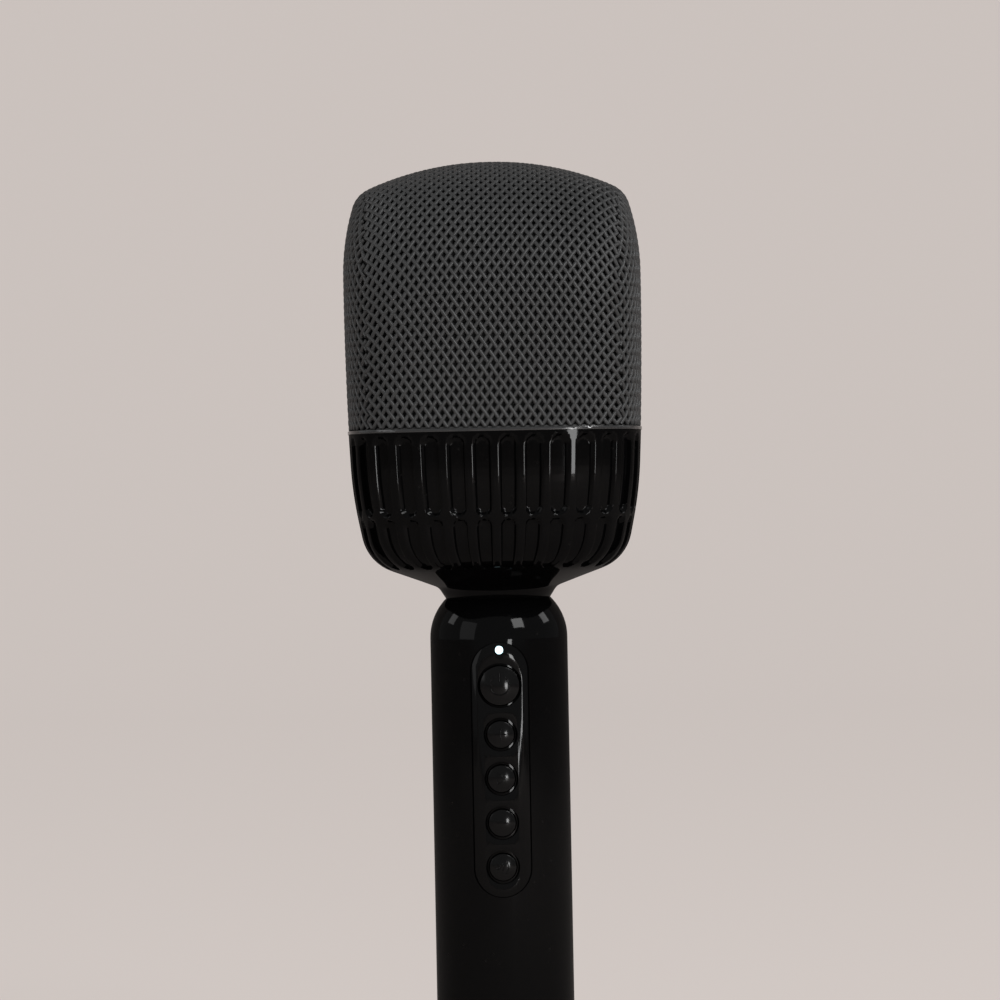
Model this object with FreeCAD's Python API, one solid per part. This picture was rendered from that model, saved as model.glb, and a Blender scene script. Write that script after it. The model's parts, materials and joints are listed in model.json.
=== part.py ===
"""Wireless karaoke microphone: a speaker head under a lift-off woven grille, on a slim handle.

Frame: +Z runs up the microphone, the control panel faces -Y, and the origin is the centre of the flat base.
All sizes are in millimetres.
"""
import FreeCAD, Part
import math
import os

from FreeCAD import Vector

# ---------------------------------------------------------------- driving dimensions
TOTAL_HEIGHT = 255.0
HEAD_WIDTH = 78.0            # widest point of the grille
HEAD_DEPTH = 78.0            # front to back; from the side the crown is a half circle
SEAM_WIDTH = 76.6            # grille and collar where they meet
GRILLE_HEIGHT = 70.4         # seam to crown
COLLAR_HEIGHT = 44.2         # neck crease to seam
HANDLE_DIAMETER = 36.2
NECK_DIAMETER = 27.5         # at the crease between collar and handle
HEAD_SQUARENESS = 4.0        # exponent of the plan's rounded square, 2 is a circle

# crown of the grille
DOME_RADIUS = 74.0
SHOULDER_RADIUS = 7.5
WALL_BOW_RADIUS = 65.0
WALL_BOW_END = 73.5          # degrees from the crown's normal, where the wall turns into the shoulder
SQUARENESS_AT_CROWN = 2.4
SQUARE_DEPTH = 8.0           # how far in from the wall the plan keeps its full squareness
CROWN_FLAT = 2.0             # degrees of the dome left flat at its middle
MIN_RISE = 0.3               # least height between two outlines of the head

# underside of the collar
FLARE_HEIGHT = 2.9           # concave flare just above the crease
FLARE_SPREAD = 1.85
FLARE_RADIUS = 3.0
UNDERSIDE_HEIGHT = 9.9       # crease to the corner below the wall
UNDERSIDE_INSET = 4.4        # that corner, inside the seam's half width
UNDERSIDE_RADIUS = 12.0
WAIST_HEIGHT = 28.0          # where the wall starts to lean in
WAIST_INSET = 0.75
WAIST_RADIUS = 100.0

# walls and layers of the head
COLLAR_WALL = 2.4
COLLAR_LEDGE = 1.8           # step inside the collar that carries the baffle
MESH_THICKNESS = 1.2
INNER_MESH_THICKNESS = 0.6
FOAM_THICKNESS = 4.0
LAYER_GAP = 0.15
TRIM_HEIGHT = 0.8
TRIM_PROUD = 0.2
RIM_FLANGE_HEIGHT = 0.6
RIM_HEIGHT = 5.4
RIM_WALL = 1.6
SHADOW_GAP = 0.4             # dark line between the trim ring and the mesh
TONGUE_WIDTH = 9.0
TONGUE_DEPTH = 6.0
TONGUE_THICKNESS = 1.4

# speaker and microphone capsule
BAFFLE_THICKNESS = 2.4
BAFFLE_DROP = 6.0            # trim ring down to the baffle's face
SPEAKER_DIAMETER = 56.0
SPEAKER_FLANGE = 1.0
BASKET_INSET = 4.2           # flange edge to basket wall
BASKET_DEPTH = 13.0
BASKET_WALL = 0.8
BASKET_FLOOR_DIAMETER = 30.0
CONE_INSET = 9.0             # flange edge to the cone's rim
CONE_DEPTH = 7.0
CONE_THICKNESS = 0.5
COIL_DIAMETER = 11.0
COIL_WALL = 0.5
COIL_HEIGHT = 12.0
MAGNET_DIAMETER = 28.0
MAGNET_HEIGHT = 8.0
YOKE_PLATE = 2.0
COIL_GAP = 0.5
SURROUND_HEIGHT = 1.6
GASKET_HEIGHT = 1.0
BRIDGE_WIDTH = 8.0
BRIDGE_THICKNESS = 2.5
BRIDGE_RISE = 10.0
BRIDGE_LEG = 2.4
BRIDGE_SPREAD = 1.5          # leg outside the speaker's flange
BRIDGE_FOOT_REACH = 4.4
BRIDGE_FOOT_THICKNESS = 1.6
CAPSULE_POST_HEIGHT = 12.0
CAPSULE_POST_DIAMETER = 11.0
CAPSULE_DIAMETER = 16.0
CAPSULE_HEIGHT = 17.0
SHOCK_MOUNT_WALL = 1.8
SHOCK_MOUNT_HEIGHT = 16.0
SHOCK_MOUNT_FLOOR = 2.0
WINDOW_COUNT = 6             # openings in the speaker's basket
WINDOW_HEIGHT_SHARE = 0.5    # of the basket's height, centred
DUST_CAP_DIAMETER = 13.0
DUST_CAP_RISE = 2.0

# neck
NECK_TUBE_DIAMETER = 19.0
NECK_TUBE_WALL = 2.0
NECK_FLANGE_DIAMETER = 25.0
NECK_FLANGE_THICKNESS = 1.8
NECK_PLATE = 2.2             # thickness of the handle's top and of the collar's floor
NECK_NUT_DIAMETER = 26.0
NECK_NUT_HEIGHT = 4.0
NUT_ROOM = 0.6               # collar's counterbore round the nut
NUT_SLOTS = 6
TUBE_OVERRUN = 1.0           # thread left above the nut

# handle
HANDLE_WALL = 2.0
SHOULDER_HEIGHT = 10.5       # rounding from the handle's side to the crease
END_CAP_HEIGHT = 10.0
END_CAP_INSET = 0.4
END_CAP_WALL = 1.8
END_CAP_FLOOR = 2.4
SPIGOT_HEIGHT = 3.0
FOOT_PAD_HEIGHT = 1.0
FOOT_PAD_WIDTH = 8.0
FOOT_PAD_INSET = 1.2

# control panel
PANEL_WIDTH = 15.0
PANEL_TOP = 11.3             # below the neck crease
PANEL_HEIGHT = 66.2
PANEL_SINK = 0.3             # panel face below the handle's surface
PANEL_THICKNESS = 0.9
PANEL_GLUE = 0.05
LAND_THICKNESS = 2.0         # shell behind the panel, measured at its middle
POWER_DROP = 22.5            # neck crease down to the power button
FIRST_STEP = 12.7            # power button down to the next button
BUTTON_STEP = 11.5
POWER_DIAMETER = 10.2
POWER_WELL_DIAMETER = 11.6
BUTTON_DIAMETER = 7.0
BUTTON_WELL_DIAMETER = 8.8
BUTTON_PROUD = 0.2
BUTTON_CLEARANCE = 0.25
BUTTON_FLANGE_WIDTH = 0.8
BUTTON_FLANGE_THICKNESS = 0.8
BUTTON_TRAVEL = 0.5
LED_DROP = 13.3
LED_DIAMETER = 2.0

# electronics
BOARD_WIDTH = 20.0
BOARD_THICKNESS = 1.2
BOARD_TOP_GAP = 12.0         # neck crease down to the board's top edge
BOARD_HEIGHT = 72.0
SWITCH_SIZE = 6.0
SWITCH_HEIGHT = 1.9
PLUNGER_DIAMETER = 3.2
PLUNGER_REACH = 0.8          # plunger inside its switch at rest
BATTERY_DIAMETER = 18.2
BATTERY_LENGTH = 65.0
BATTERY_BASE = 22.0
BATTERY_OFFSET = 4.0         # cell's axis behind the handle's axis
CRADLE_WALL = 1.5
USB_WIDTH = 8.94
USB_THICKNESS = 3.26
USB_LENGTH = 7.3
USB_SHELL = 0.3
USB_TONGUE_WIDTH = 6.7
USB_TONGUE_THICKNESS = 0.7
USB_OVERMOULD_CLEARANCE = 0.2
CHARGE_BOARD_WIDTH = 16.0
CHARGE_BOARD_HEIGHT = 14.0

# fasteners and leads
SCREW_DIAMETER = 2.0
SCREW_HEAD_DIAMETER = 3.8
SCREW_HEAD_HEIGHT = 1.4
SCREW_HOLE_CLEARANCE = 0.2
BOSS_DIAMETER = 5.2
LEAD_DIAMETER = 1.2
LEAD_PAIR = 1.6              # between the two wires of a pair

SCREW_LENGTH = 8.0
THREAD_GAP = 0.02            # screw in its own thread
FIT = 0.1                    # seated pieces, each side
RUNNING_GAP = 0.3            # between bodies that move past each other

# ---------------------------------------------------------------- derived heights
NECK_Z = TOTAL_HEIGHT - GRILLE_HEIGHT - COLLAR_HEIGHT - SHADOW_GAP
SEAM_Z = NECK_Z + COLLAR_HEIGHT
GRILLE_Z = SEAM_Z + SHADOW_GAP
TRIM_Z = SEAM_Z - TRIM_HEIGHT
BAFFLE_TOP = TRIM_Z - BAFFLE_DROP
BAFFLE_Z = BAFFLE_TOP - BAFFLE_THICKNESS
NECK_RADIUS = NECK_DIAMETER / 2
HANDLE_RADIUS = HANDLE_DIAMETER / 2
CAVITY_RADIUS = HANDLE_RADIUS - HANDLE_WALL
SEAM_HALF = SEAM_WIDTH / 2
TUBE_RADIUS = NECK_TUBE_DIAMETER / 2
NUT_RADIUS = NECK_NUT_DIAMETER / 2
SCREW_RADIUS = SCREW_DIAMETER / 2
HEAD_RADIUS = SCREW_HEAD_DIAMETER / 2
BOSS_RADIUS = BOSS_DIAMETER / 2
GASKET_TOP = BAFFLE_TOP + GASKET_HEIGHT
FLANGE_TOP = GASKET_TOP + SPEAKER_FLANGE
BASKET_Z = FLANGE_TOP - BASKET_DEPTH - SPEAKER_FLANGE
CONE_Z = FLANGE_TOP - CONE_DEPTH
COIL_RADIUS = COIL_DIAMETER / 2
SPEAKER_RADIUS = SPEAKER_DIAMETER / 2
BASKET_RADIUS = SPEAKER_RADIUS - BASKET_INSET
CONE_RADIUS = SPEAKER_RADIUS - CONE_INSET
BRIDGE_X = SPEAKER_RADIUS + BRIDGE_SPREAD
BRIDGE_Z = BAFFLE_TOP + BRIDGE_RISE
POST_Z = BRIDGE_Z + BRIDGE_THICKNESS
MOUNT_Z = POST_Z + CAPSULE_POST_HEIGHT

PANEL_FACE = HANDLE_RADIUS - PANEL_SINK
RECESS_RADIUS = PANEL_FACE - PANEL_THICKNESS
LAND_Y = -(RECESS_RADIUS - LAND_THICKNESS)
FLANGE_FRONT = LAND_Y + RUNNING_GAP / 3
FLANGE_BACK = FLANGE_FRONT + BUTTON_FLANGE_THICKNESS
SWITCH_FRONT = FLANGE_BACK + BUTTON_TRAVEL + RUNNING_GAP
BOARD_FRONT = SWITCH_FRONT + SWITCH_HEIGHT
BOARD_BACK = BOARD_FRONT + BOARD_THICKNESS
BOARD_TOP = NECK_Z - BOARD_TOP_GAP
BOARD_Z = BOARD_TOP - BOARD_HEIGHT
LED_Z = NECK_Z - LED_DROP
POWER_Z = NECK_Z - POWER_DROP

UP = Vector(0, 0, 1)
INWARD = Vector(0, 1, 0)     # the way a button is pressed


# ---------------------------------------------------------------- helpers
def cylinder(radius, base, height, x=0.0, y=0.0):
    """Upright cylinder standing at the given height."""
    return Part.makeCylinder(radius, height, Vector(x, y, base), UP)


def ring(outer, inner, base, height, x=0.0, y=0.0):
    """Upright tube."""
    return cylinder(outer, base, height, x, y).cut(cylinder(inner, base - 1, height + 2, x, y))


def box(x0, x1, y0, y1, z0, z1):
    """Box between two corners."""
    return Part.makeBox(x1 - x0, y1 - y0, z1 - z0, Vector(x0, y0, z0))


def rod(radius, y0, y1, z, x=0.0):
    """Cylinder along Y, as the buttons and their switches lie."""
    return Part.makeCylinder(radius, y1 - y0, Vector(x, y0, z), INWARD)


def turned(outline):
    """Solid of revolution about the Z axis from (radius, height) corners."""
    points = [Vector(r, 0, z) for r, z in outline]
    face = Part.Face(Part.makePolygon(points + points[:1]))
    return face.revolve(Vector(0, 0, 0), UP, 360)


def stadium(width, height, y0, y1, top):
    """Upright slot shape with round ends, run from y0 to y1."""
    r = width / 2
    upper, lower = top - r, top - height + r
    middle = box(-r, r, y0, y1, lower, upper)
    return middle.fuse([rod(r, y0, y1, upper), rod(r, y0, y1, lower)]).removeSplitter()


def plan_radius(angle, half_width, squareness):
    """Distance from the axis to a rounded square at a plan angle."""
    c, s = abs(math.cos(angle)), abs(math.sin(angle))
    return half_width / (c ** squareness + s ** squareness) ** (1 / squareness)


def section(half_width, half_depth, squareness, z, points=32):
    """Closed smooth outline of the head at one height."""
    curve = Part.BSplineCurve()
    outline = []
    for i in range(points):
        angle = 2 * math.pi * i / points
        r = plan_radius(angle, 1.0, squareness)
        outline.append(Vector(half_width * r * math.cos(angle), half_depth * r * math.sin(angle), z))
    curve.interpolate(outline, PeriodicFlag=True)
    return Part.Wire(curve.toShape())


def squareness_at(half_width):
    """The plan turns from a circle at the neck into a rounded square under the wall."""
    span = (half_width - NECK_RADIUS - FLARE_SPREAD) / (SEAM_HALF - UNDERSIDE_INSET - NECK_RADIUS - FLARE_SPREAD)
    span = min(max(span, 0.0), 1.0)
    return 2 + (HEAD_SQUARENESS - 2) * span * span * (3 - 2 * span)


def crown_squareness(half_width):
    """The plan softens over the dome towards the crown."""
    span = min(half_width / (HEAD_WIDTH / 2 - SQUARE_DEPTH), 1.0)
    return SQUARENESS_AT_CROWN + (HEAD_SQUARENESS - SQUARENESS_AT_CROWN) * span * span


def lofted(stations, squareness):
    """Solid through (half width, half depth, height) stations of the head."""
    wires = [section(half, half_depth, squareness(half), z) for half, half_depth, z in stations]
    return Part.makeLoft(wires, True, True)


def inset(stations, depth):
    """Move a profile inwards along its own normal."""
    moved = []
    last = len(stations) - 1
    for i, (half, z) in enumerate(stations):
        before, after = stations[max(i - 1, 0)], stations[min(i + 1, last)]
        dr, dz = after[0] - before[0], after[1] - before[1]
        length = math.hypot(dr, dz)
        moved.append((half - depth * dz / length, z + depth * dr / length))
    return moved


def clipped(stations, low, high):
    """The part of a rising profile between two heights, with its ends cut exactly there."""
    result = []
    for (r0, z0), (r1, z1) in zip(stations, stations[1:]):
        for level in (low, high):
            if z0 < level < z1:
                result.append((r0 + (r1 - r0) * (level - z0) / (z1 - z0), level))
        if low <= z1 <= high:
            result.append((r1, z1))
    if low <= stations[0][1] <= high:
        result.insert(0, stations[0])
    return sorted(set(result), key=lambda p: p[1])


def at_height(profile, z):
    """Half width of a rising profile at a height."""
    for (r0, z0), (r1, z1) in zip(profile, profile[1:]):
        if z0 <= z <= z1:
            return r0 + (r1 - r0) * (z - z0) / (z1 - z0)
    return profile[0][0] if z < profile[0][1] else profile[-1][0]


def both_ways(front, side):
    """Stations that follow one profile across the head and another from front to back."""
    top = min(front[-1][1], side[-1][1])
    levels = []
    for z in sorted([z for _, z in front + side if z < top - MIN_RISE]) + [top]:
        if not levels or z - levels[-1] > MIN_RISE:
            levels.append(z)
    return [(at_height(front, z), at_height(side, z), z) for z in levels]


def round_corner(before, corner, after, radius, steps=5):
    """Points of the tangent arc that rounds one corner of a profile."""
    ax, az = before[0] - corner[0], before[1] - corner[1]
    bx, bz = after[0] - corner[0], after[1] - corner[1]
    la, lb = math.hypot(ax, az), math.hypot(bx, bz)
    ax, az, bx, bz = ax / la, az / la, bx / lb, bz / lb
    half = math.acos(ax * bx + az * bz) / 2
    reach, middle = radius / math.tan(half), radius / math.sin(half)
    mx, mz = ax + bx, az + bz
    lm = math.hypot(mx, mz)
    cx, cz = corner[0] + mx / lm * middle, corner[1] + mz / lm * middle
    start = math.atan2(corner[1] + az * reach - cz, corner[0] + ax * reach - cx)
    end = math.atan2(corner[1] + bz * reach - cz, corner[0] + bx * reach - cx)
    turn = (end - start + math.pi) % (2 * math.pi) - math.pi
    angles = [start + turn * i / steps for i in range(steps + 1)]
    return [(cx + radius * math.cos(a), cz + radius * math.sin(a)) for a in angles]


# ---------------------------------------------------------------- head outlines
def collar_profile():
    """Outside of the collar from the neck crease to the seam."""
    corners = [
        (NECK_RADIUS, NECK_Z),
        (NECK_RADIUS + FLARE_SPREAD, NECK_Z + FLARE_HEIGHT),
        (SEAM_HALF - UNDERSIDE_INSET, NECK_Z + UNDERSIDE_HEIGHT),
        (SEAM_HALF - WAIST_INSET, NECK_Z + WAIST_HEIGHT),
        (SEAM_HALF, SEAM_Z),
    ]
    radii = [FLARE_RADIUS, UNDERSIDE_RADIUS, WAIST_RADIUS]
    profile = [corners[0]]
    for i, radius in enumerate(radii, start=1):
        profile += round_corner(corners[i - 1], corners[i], corners[i + 1], radius)
    return profile + [corners[-1]]


def grille_profile():
    """Outside of the grille from the seam to the crown: wall, bow, shoulder and dome."""
    half = HEAD_WIDTH / 2
    bow_end = math.radians(WALL_BOW_END)
    shoulder = half - WALL_BOW_RADIUS * (1 - math.sin(bow_end)) - SHOULDER_RADIUS * math.sin(bow_end)
    dome_end = math.asin(shoulder / (DOME_RADIUS - SHOULDER_RADIUS))
    arcs = [
        (WALL_BOW_RADIUS, math.pi / 2, bow_end, 5),
        (SHOULDER_RADIUS, bow_end, dome_end, 5),
        (DOME_RADIUS, dome_end, math.radians(CROWN_FLAT), 6),
    ]
    profile = [(0.0, 0.0)]
    for radius, start, end, steps in arcs:
        r0, z0 = profile[-1]
        for i in range(1, steps + 1):
            a = start + (end - start) * i / steps
            profile.append((r0 + radius * (math.sin(a) - math.sin(start)),
                            z0 + radius * (math.cos(a) - math.cos(start))))
    lift = TOTAL_HEIGHT - profile[-1][1]
    profile = [(half + r, z + lift) for r, z in profile]
    wall_top = profile[0][1]
    wall = []
    for share in (0.0, 0.35, 0.7):
        wall.append((SEAM_HALF + (half - SEAM_HALF) * share * (2 - share), GRILLE_Z + (wall_top - GRILLE_Z) * share))
    return wall + profile


def grille_side_profile():
    """Outside of the grille seen from the side: straight wall under a half circle."""
    half = HEAD_DEPTH / 2
    centre = TOTAL_HEIGHT - half * math.cos(math.radians(CROWN_FLAT))
    steps = 14
    profile = [(SEAM_HALF, GRILLE_Z), ((SEAM_HALF + 2 * half) / 3, (GRILLE_Z + centre) / 2)]
    for i in range(steps + 1):
        angle = math.radians(90 + (CROWN_FLAT - 90) * i / steps)
        profile.append((half * math.sin(angle), centre + half * math.cos(angle)))
    return profile


COLLAR = collar_profile()
GRILLE = grille_profile()
GRILLE_SIDE = grille_side_profile()


def grille_layer(outer_depth, thickness, base):
    """One closed layer of the grille, open at the bottom."""
    def body(depth, low):
        front = [(at_height(GRILLE, base) - depth, low)] + clipped(inset(GRILLE, depth), base + MIN_RISE, TOTAL_HEIGHT)
        side = [front[0]] + clipped(inset(GRILLE_SIDE, depth), base + MIN_RISE, TOTAL_HEIGHT)
        return lofted(both_ways(front, side), crown_squareness)

    return body(outer_depth, base).cut(body(outer_depth + thickness, base - 1))


def plate(depth, z, height):
    """Flat plate that follows the head's plan, inset from the seam."""
    outline = section(SEAM_HALF - depth, SEAM_HALF - depth, HEAD_SQUARENESS, z)
    return Part.Face(outline).extrude(Vector(0, 0, height))


# ---------------------------------------------------------------- grille
RIM_DEPTH = MESH_THICKNESS + INNER_MESH_THICKNESS + 2 * LAYER_GAP


def make_grille_mesh():
    return grille_layer(0.0, MESH_THICKNESS, GRILLE_Z)


def make_grille_inner_mesh():
    return grille_layer(MESH_THICKNESS + LAYER_GAP, INNER_MESH_THICKNESS, GRILLE_Z)


def make_windscreen_foam():
    return grille_layer(RIM_DEPTH, FOAM_THICKNESS, SEAM_Z + RIM_HEIGHT + LAYER_GAP)


def make_grille_rim_ring():
    """Seat ring of the grille: a flange on the trim ring, an upstand inside the mesh and four tongues."""
    flange = plate(SHADOW_GAP * 2, SEAM_Z, RIM_FLANGE_HEIGHT - SHADOW_GAP / 2)
    upstand = plate(RIM_DEPTH, SEAM_Z, RIM_HEIGHT)
    body = flange.fuse(upstand)
    depth = RIM_DEPTH + RIM_WALL
    body = body.cut(plate(depth, SEAM_Z - 1, RIM_HEIGHT + 2))
    outer = SEAM_HALF - COLLAR_WALL - RUNNING_GAP
    for side in range(4):
        tongue = box(outer - TONGUE_THICKNESS, outer, -TONGUE_WIDTH / 2, TONGUE_WIDTH / 2,
                     SEAM_Z - TONGUE_DEPTH, SEAM_Z + RIM_FLANGE_HEIGHT)
        tongue.rotate(Vector(0, 0, 0), UP, 90 * side)
        body = body.fuse(tongue)
    return body.removeSplitter()


# ---------------------------------------------------------------- collar
def make_collar_shell():
    """Lower head: a rounded-square cup with a ledge and four posts for the baffle."""
    outside = clipped(COLLAR, NECK_Z, TRIM_Z)
    shell = lofted(both_ways(outside, outside), squareness_at)
    floor_z = NECK_Z + NECK_PLATE
    inner_low = clipped(inset(COLLAR, COLLAR_WALL + COLLAR_LEDGE), floor_z, BAFFLE_Z)
    shell = shell.cut(lofted(both_ways(inner_low, inner_low), squareness_at))
    shell = shell.cut(plate(COLLAR_WALL, BAFFLE_Z, SEAM_Z - BAFFLE_Z))
    shell = shell.cut(cylinder(NUT_RADIUS + NUT_ROOM, floor_z, UNDERSIDE_HEIGHT - NECK_PLATE))
    shell = shell.cut(cylinder(TUBE_RADIUS + FIT, NECK_Z - 1, NECK_PLATE + 2))
    posts = [cylinder(BOSS_RADIUS, NECK_Z + UNDERSIDE_HEIGHT, BAFFLE_Z - NECK_Z - UNDERSIDE_HEIGHT, x, y)
             for x, y in post_places()]
    holes = [cylinder(SCREW_RADIUS + THREAD_GAP, BAFFLE_Z - SCREW_LENGTH, SCREW_LENGTH + 1, x, y)
             for x, y in post_places()]
    shell = shell.fuse(posts).cut(holes)
    return shell


def post_places():
    """Where the baffle's screws stand, on the diagonals."""
    r = plan_radius(math.pi / 4, SEAM_HALF - COLLAR_WALL - COLLAR_LEDGE, HEAD_SQUARENESS) - BOSS_DIAMETER
    d = r * math.sqrt(0.5)
    return [(d, d), (-d, d), (-d, -d), (d, -d)]


def make_collar_trim_ring():
    """Bright lip that caps the collar's wall."""
    lip = plate(-TRIM_PROUD, TRIM_Z, TRIM_HEIGHT)
    return lip.cut(plate(COLLAR_WALL, TRIM_Z - 1, TRIM_HEIGHT + 2))


# ---------------------------------------------------------------- fasteners
def screw_up(x, y, seat, length):
    """Screw whose head hangs below its seat and whose shank points up."""
    head = cylinder(HEAD_RADIUS, seat - SCREW_HEAD_HEIGHT, SCREW_HEAD_HEIGHT, x, y)
    drive = cylinder(HEAD_RADIUS / 2, seat - SCREW_HEAD_HEIGHT - 1, 1 + SCREW_HEAD_HEIGHT / 2, x, y)
    return head.fuse(cylinder(SCREW_RADIUS, seat, length, x, y)).cut(drive)


def screw_down(x, y, seat, length):
    """Screw whose head stands on its seat and whose shank points down."""
    screw = screw_up(0, 0, 0, length)
    screw.rotate(Vector(0, 0, 0), Vector(1, 0, 0), 180)
    screw.translate(Vector(x, y, seat))
    return screw


def screw_along(x, y, z, length, turn):
    """Screw along Y: a turn of 90 points its shank to the front, -90 to the rear."""
    screw = screw_up(0, 0, 0, length)
    screw.rotate(Vector(0, 0, 0), Vector(1, 0, 0), turn)
    screw.translate(Vector(x, y, z))
    return screw


def on_circle(radius, count, first=0.0):
    """Evenly spaced (x, y) points round the axis."""
    angles = [math.radians(first + 360 * i / count) for i in range(count)]
    return [(radius * math.cos(a), radius * math.sin(a)) for a in angles]


# ---------------------------------------------------------------- speaker
SPEAKER_SCREWS = on_circle(SPEAKER_RADIUS - HEAD_RADIUS - FIT, 4, 45)
CAPSULE_LEAD_Y = SPEAKER_RADIUS + BRIDGE_SPREAD


def bridge_feet():
    """The four screws that hold the capsule's bridge to the baffle."""
    x = BRIDGE_X + BRIDGE_LEG / 2
    y = BRIDGE_WIDTH / 2 + BRIDGE_FOOT_REACH / 2
    return [(x, y), (x, -y), (-x, y), (-x, -y)]


def make_speaker_baffle():
    baffle = plate(COLLAR_WALL + FIT, BAFFLE_Z, BAFFLE_THICKNESS)
    cuts = [cylinder(BASKET_RADIUS + RUNNING_GAP, BAFFLE_Z - 1, BAFFLE_THICKNESS + 2)]
    passage = (LEAD_PAIR + LEAD_DIAMETER) / 2 + FIT
    cuts.append(cylinder(passage, BAFFLE_Z - 1, BAFFLE_THICKNESS + 2, 0, CAPSULE_LEAD_Y))
    for x, y in post_places() + SPEAKER_SCREWS + bridge_feet():
        cuts.append(cylinder(SCREW_RADIUS + THREAD_GAP, BAFFLE_Z - 1, BAFFLE_THICKNESS + 2, x, y))
    return baffle.cut(cuts)


def make_baffle_screws():
    length = SCREW_LENGTH - 1 + BAFFLE_THICKNESS
    return Part.makeCompound([screw_down(x, y, BAFFLE_TOP, length) for x, y in post_places()])


def make_speaker_gasket():
    gasket = ring(SPEAKER_RADIUS, BASKET_RADIUS + RUNNING_GAP, BAFFLE_TOP, GASKET_HEIGHT)
    holes = [cylinder(SCREW_RADIUS + THREAD_GAP, BAFFLE_TOP - 1, GASKET_HEIGHT + 2, x, y)
             for x, y in SPEAKER_SCREWS]
    return gasket.cut(holes)


def make_speaker_frame():
    """Pressed basket: flange, tapered wall with windows and a floor on the magnet."""
    floor_radius = BASKET_FLOOR_DIAMETER / 2
    bore = COIL_RADIUS + COIL_GAP + BASKET_WALL
    basket = turned([
        (SPEAKER_RADIUS, GASKET_TOP), (SPEAKER_RADIUS, FLANGE_TOP),
        (BASKET_RADIUS - BASKET_WALL, FLANGE_TOP), (floor_radius - BASKET_WALL, BASKET_Z + BASKET_WALL),
        (bore, BASKET_Z + BASKET_WALL), (bore, BASKET_Z), (floor_radius, BASKET_Z), (BASKET_RADIUS, GASKET_TOP),
    ])
    middle = (GASKET_TOP + BASKET_Z) / 2
    reach = (GASKET_TOP - BASKET_Z) * WINDOW_HEIGHT_SHARE / 2
    windows = []
    for i in range(WINDOW_COUNT):
        window = box(floor_radius - BASKET_WALL, BASKET_RADIUS + 1, -CONE_DEPTH / 2, CONE_DEPTH / 2,
                     middle - reach, middle + reach)
        window.rotate(Vector(0, 0, 0), UP, 360 * (i + 0.5) / WINDOW_COUNT)
        windows.append(window)
    holes = [cylinder(SCREW_RADIUS + THREAD_GAP, GASKET_TOP - 1, SPEAKER_FLANGE + 2, x, y)
             for x, y in SPEAKER_SCREWS]
    return basket.cut(windows + holes)


def make_speaker_magnet():
    bore = COIL_RADIUS + COIL_GAP
    return ring(MAGNET_DIAMETER / 2, bore, BASKET_Z - MAGNET_HEIGHT, MAGNET_HEIGHT)


def make_speaker_yoke():
    """Back plate and centre pole."""
    base = BASKET_Z - MAGNET_HEIGHT
    plate_disc = cylinder(MAGNET_DIAMETER / 2 - 1, base - YOKE_PLATE, YOKE_PLATE)
    pole = cylinder(COIL_RADIUS - COIL_WALL - COIL_GAP, base, MAGNET_HEIGHT + BASKET_WALL)
    return plate_disc.fuse(pole).removeSplitter()


def make_speaker_voice_coil():
    return ring(COIL_RADIUS, COIL_RADIUS - COIL_WALL, CONE_Z - COIL_HEIGHT, COIL_HEIGHT)


def make_speaker_cone():
    neck = COIL_RADIUS - COIL_WALL
    return turned([
        (neck, CONE_Z), (COIL_RADIUS, CONE_Z), (CONE_RADIUS, FLANGE_TOP), (CONE_RADIUS, FLANGE_TOP + CONE_THICKNESS),
        (neck, CONE_Z + CONE_THICKNESS),
    ])


def make_speaker_dust_cap():
    """Shallow dome glued over the coil."""
    r = DUST_CAP_DIAMETER / 2
    ball = (r * r + DUST_CAP_RISE ** 2) / (2 * DUST_CAP_RISE)
    share = (r - COIL_RADIUS + COIL_WALL) / (CONE_RADIUS - COIL_RADIUS + COIL_WALL)
    base = CONE_Z + CONE_THICKNESS + CONE_DEPTH * share
    centre = Vector(0, 0, base + DUST_CAP_RISE - ball)
    dome = Part.makeSphere(ball, centre).cut(Part.makeSphere(ball - CONE_THICKNESS, centre))
    return dome.common(cylinder(r, base, DUST_CAP_RISE + 1))


def make_speaker_surround():
    """Half roll between the cone's rim and the flange."""
    inner, outer = CONE_RADIUS, BASKET_RADIUS + RUNNING_GAP
    middle, half = (inner + outer) / 2, (outer - inner) / 2
    skin = 2 * RUNNING_GAP
    crest = [(math.radians(180 * i / 8)) for i in range(9)]
    outside = [(middle + half * math.cos(a), FLANGE_TOP + SURROUND_HEIGHT * math.sin(a)) for a in crest]
    inside = [(middle + (half - skin) * math.cos(a), FLANGE_TOP + (SURROUND_HEIGHT - skin) * math.sin(a))
              for a in reversed(crest)]
    return turned(outside + inside)


def make_speaker_screws():
    length = SPEAKER_FLANGE + GASKET_HEIGHT + BAFFLE_THICKNESS
    return Part.makeCompound([screw_down(x, y, FLANGE_TOP, length) for x, y in SPEAKER_SCREWS])


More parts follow.
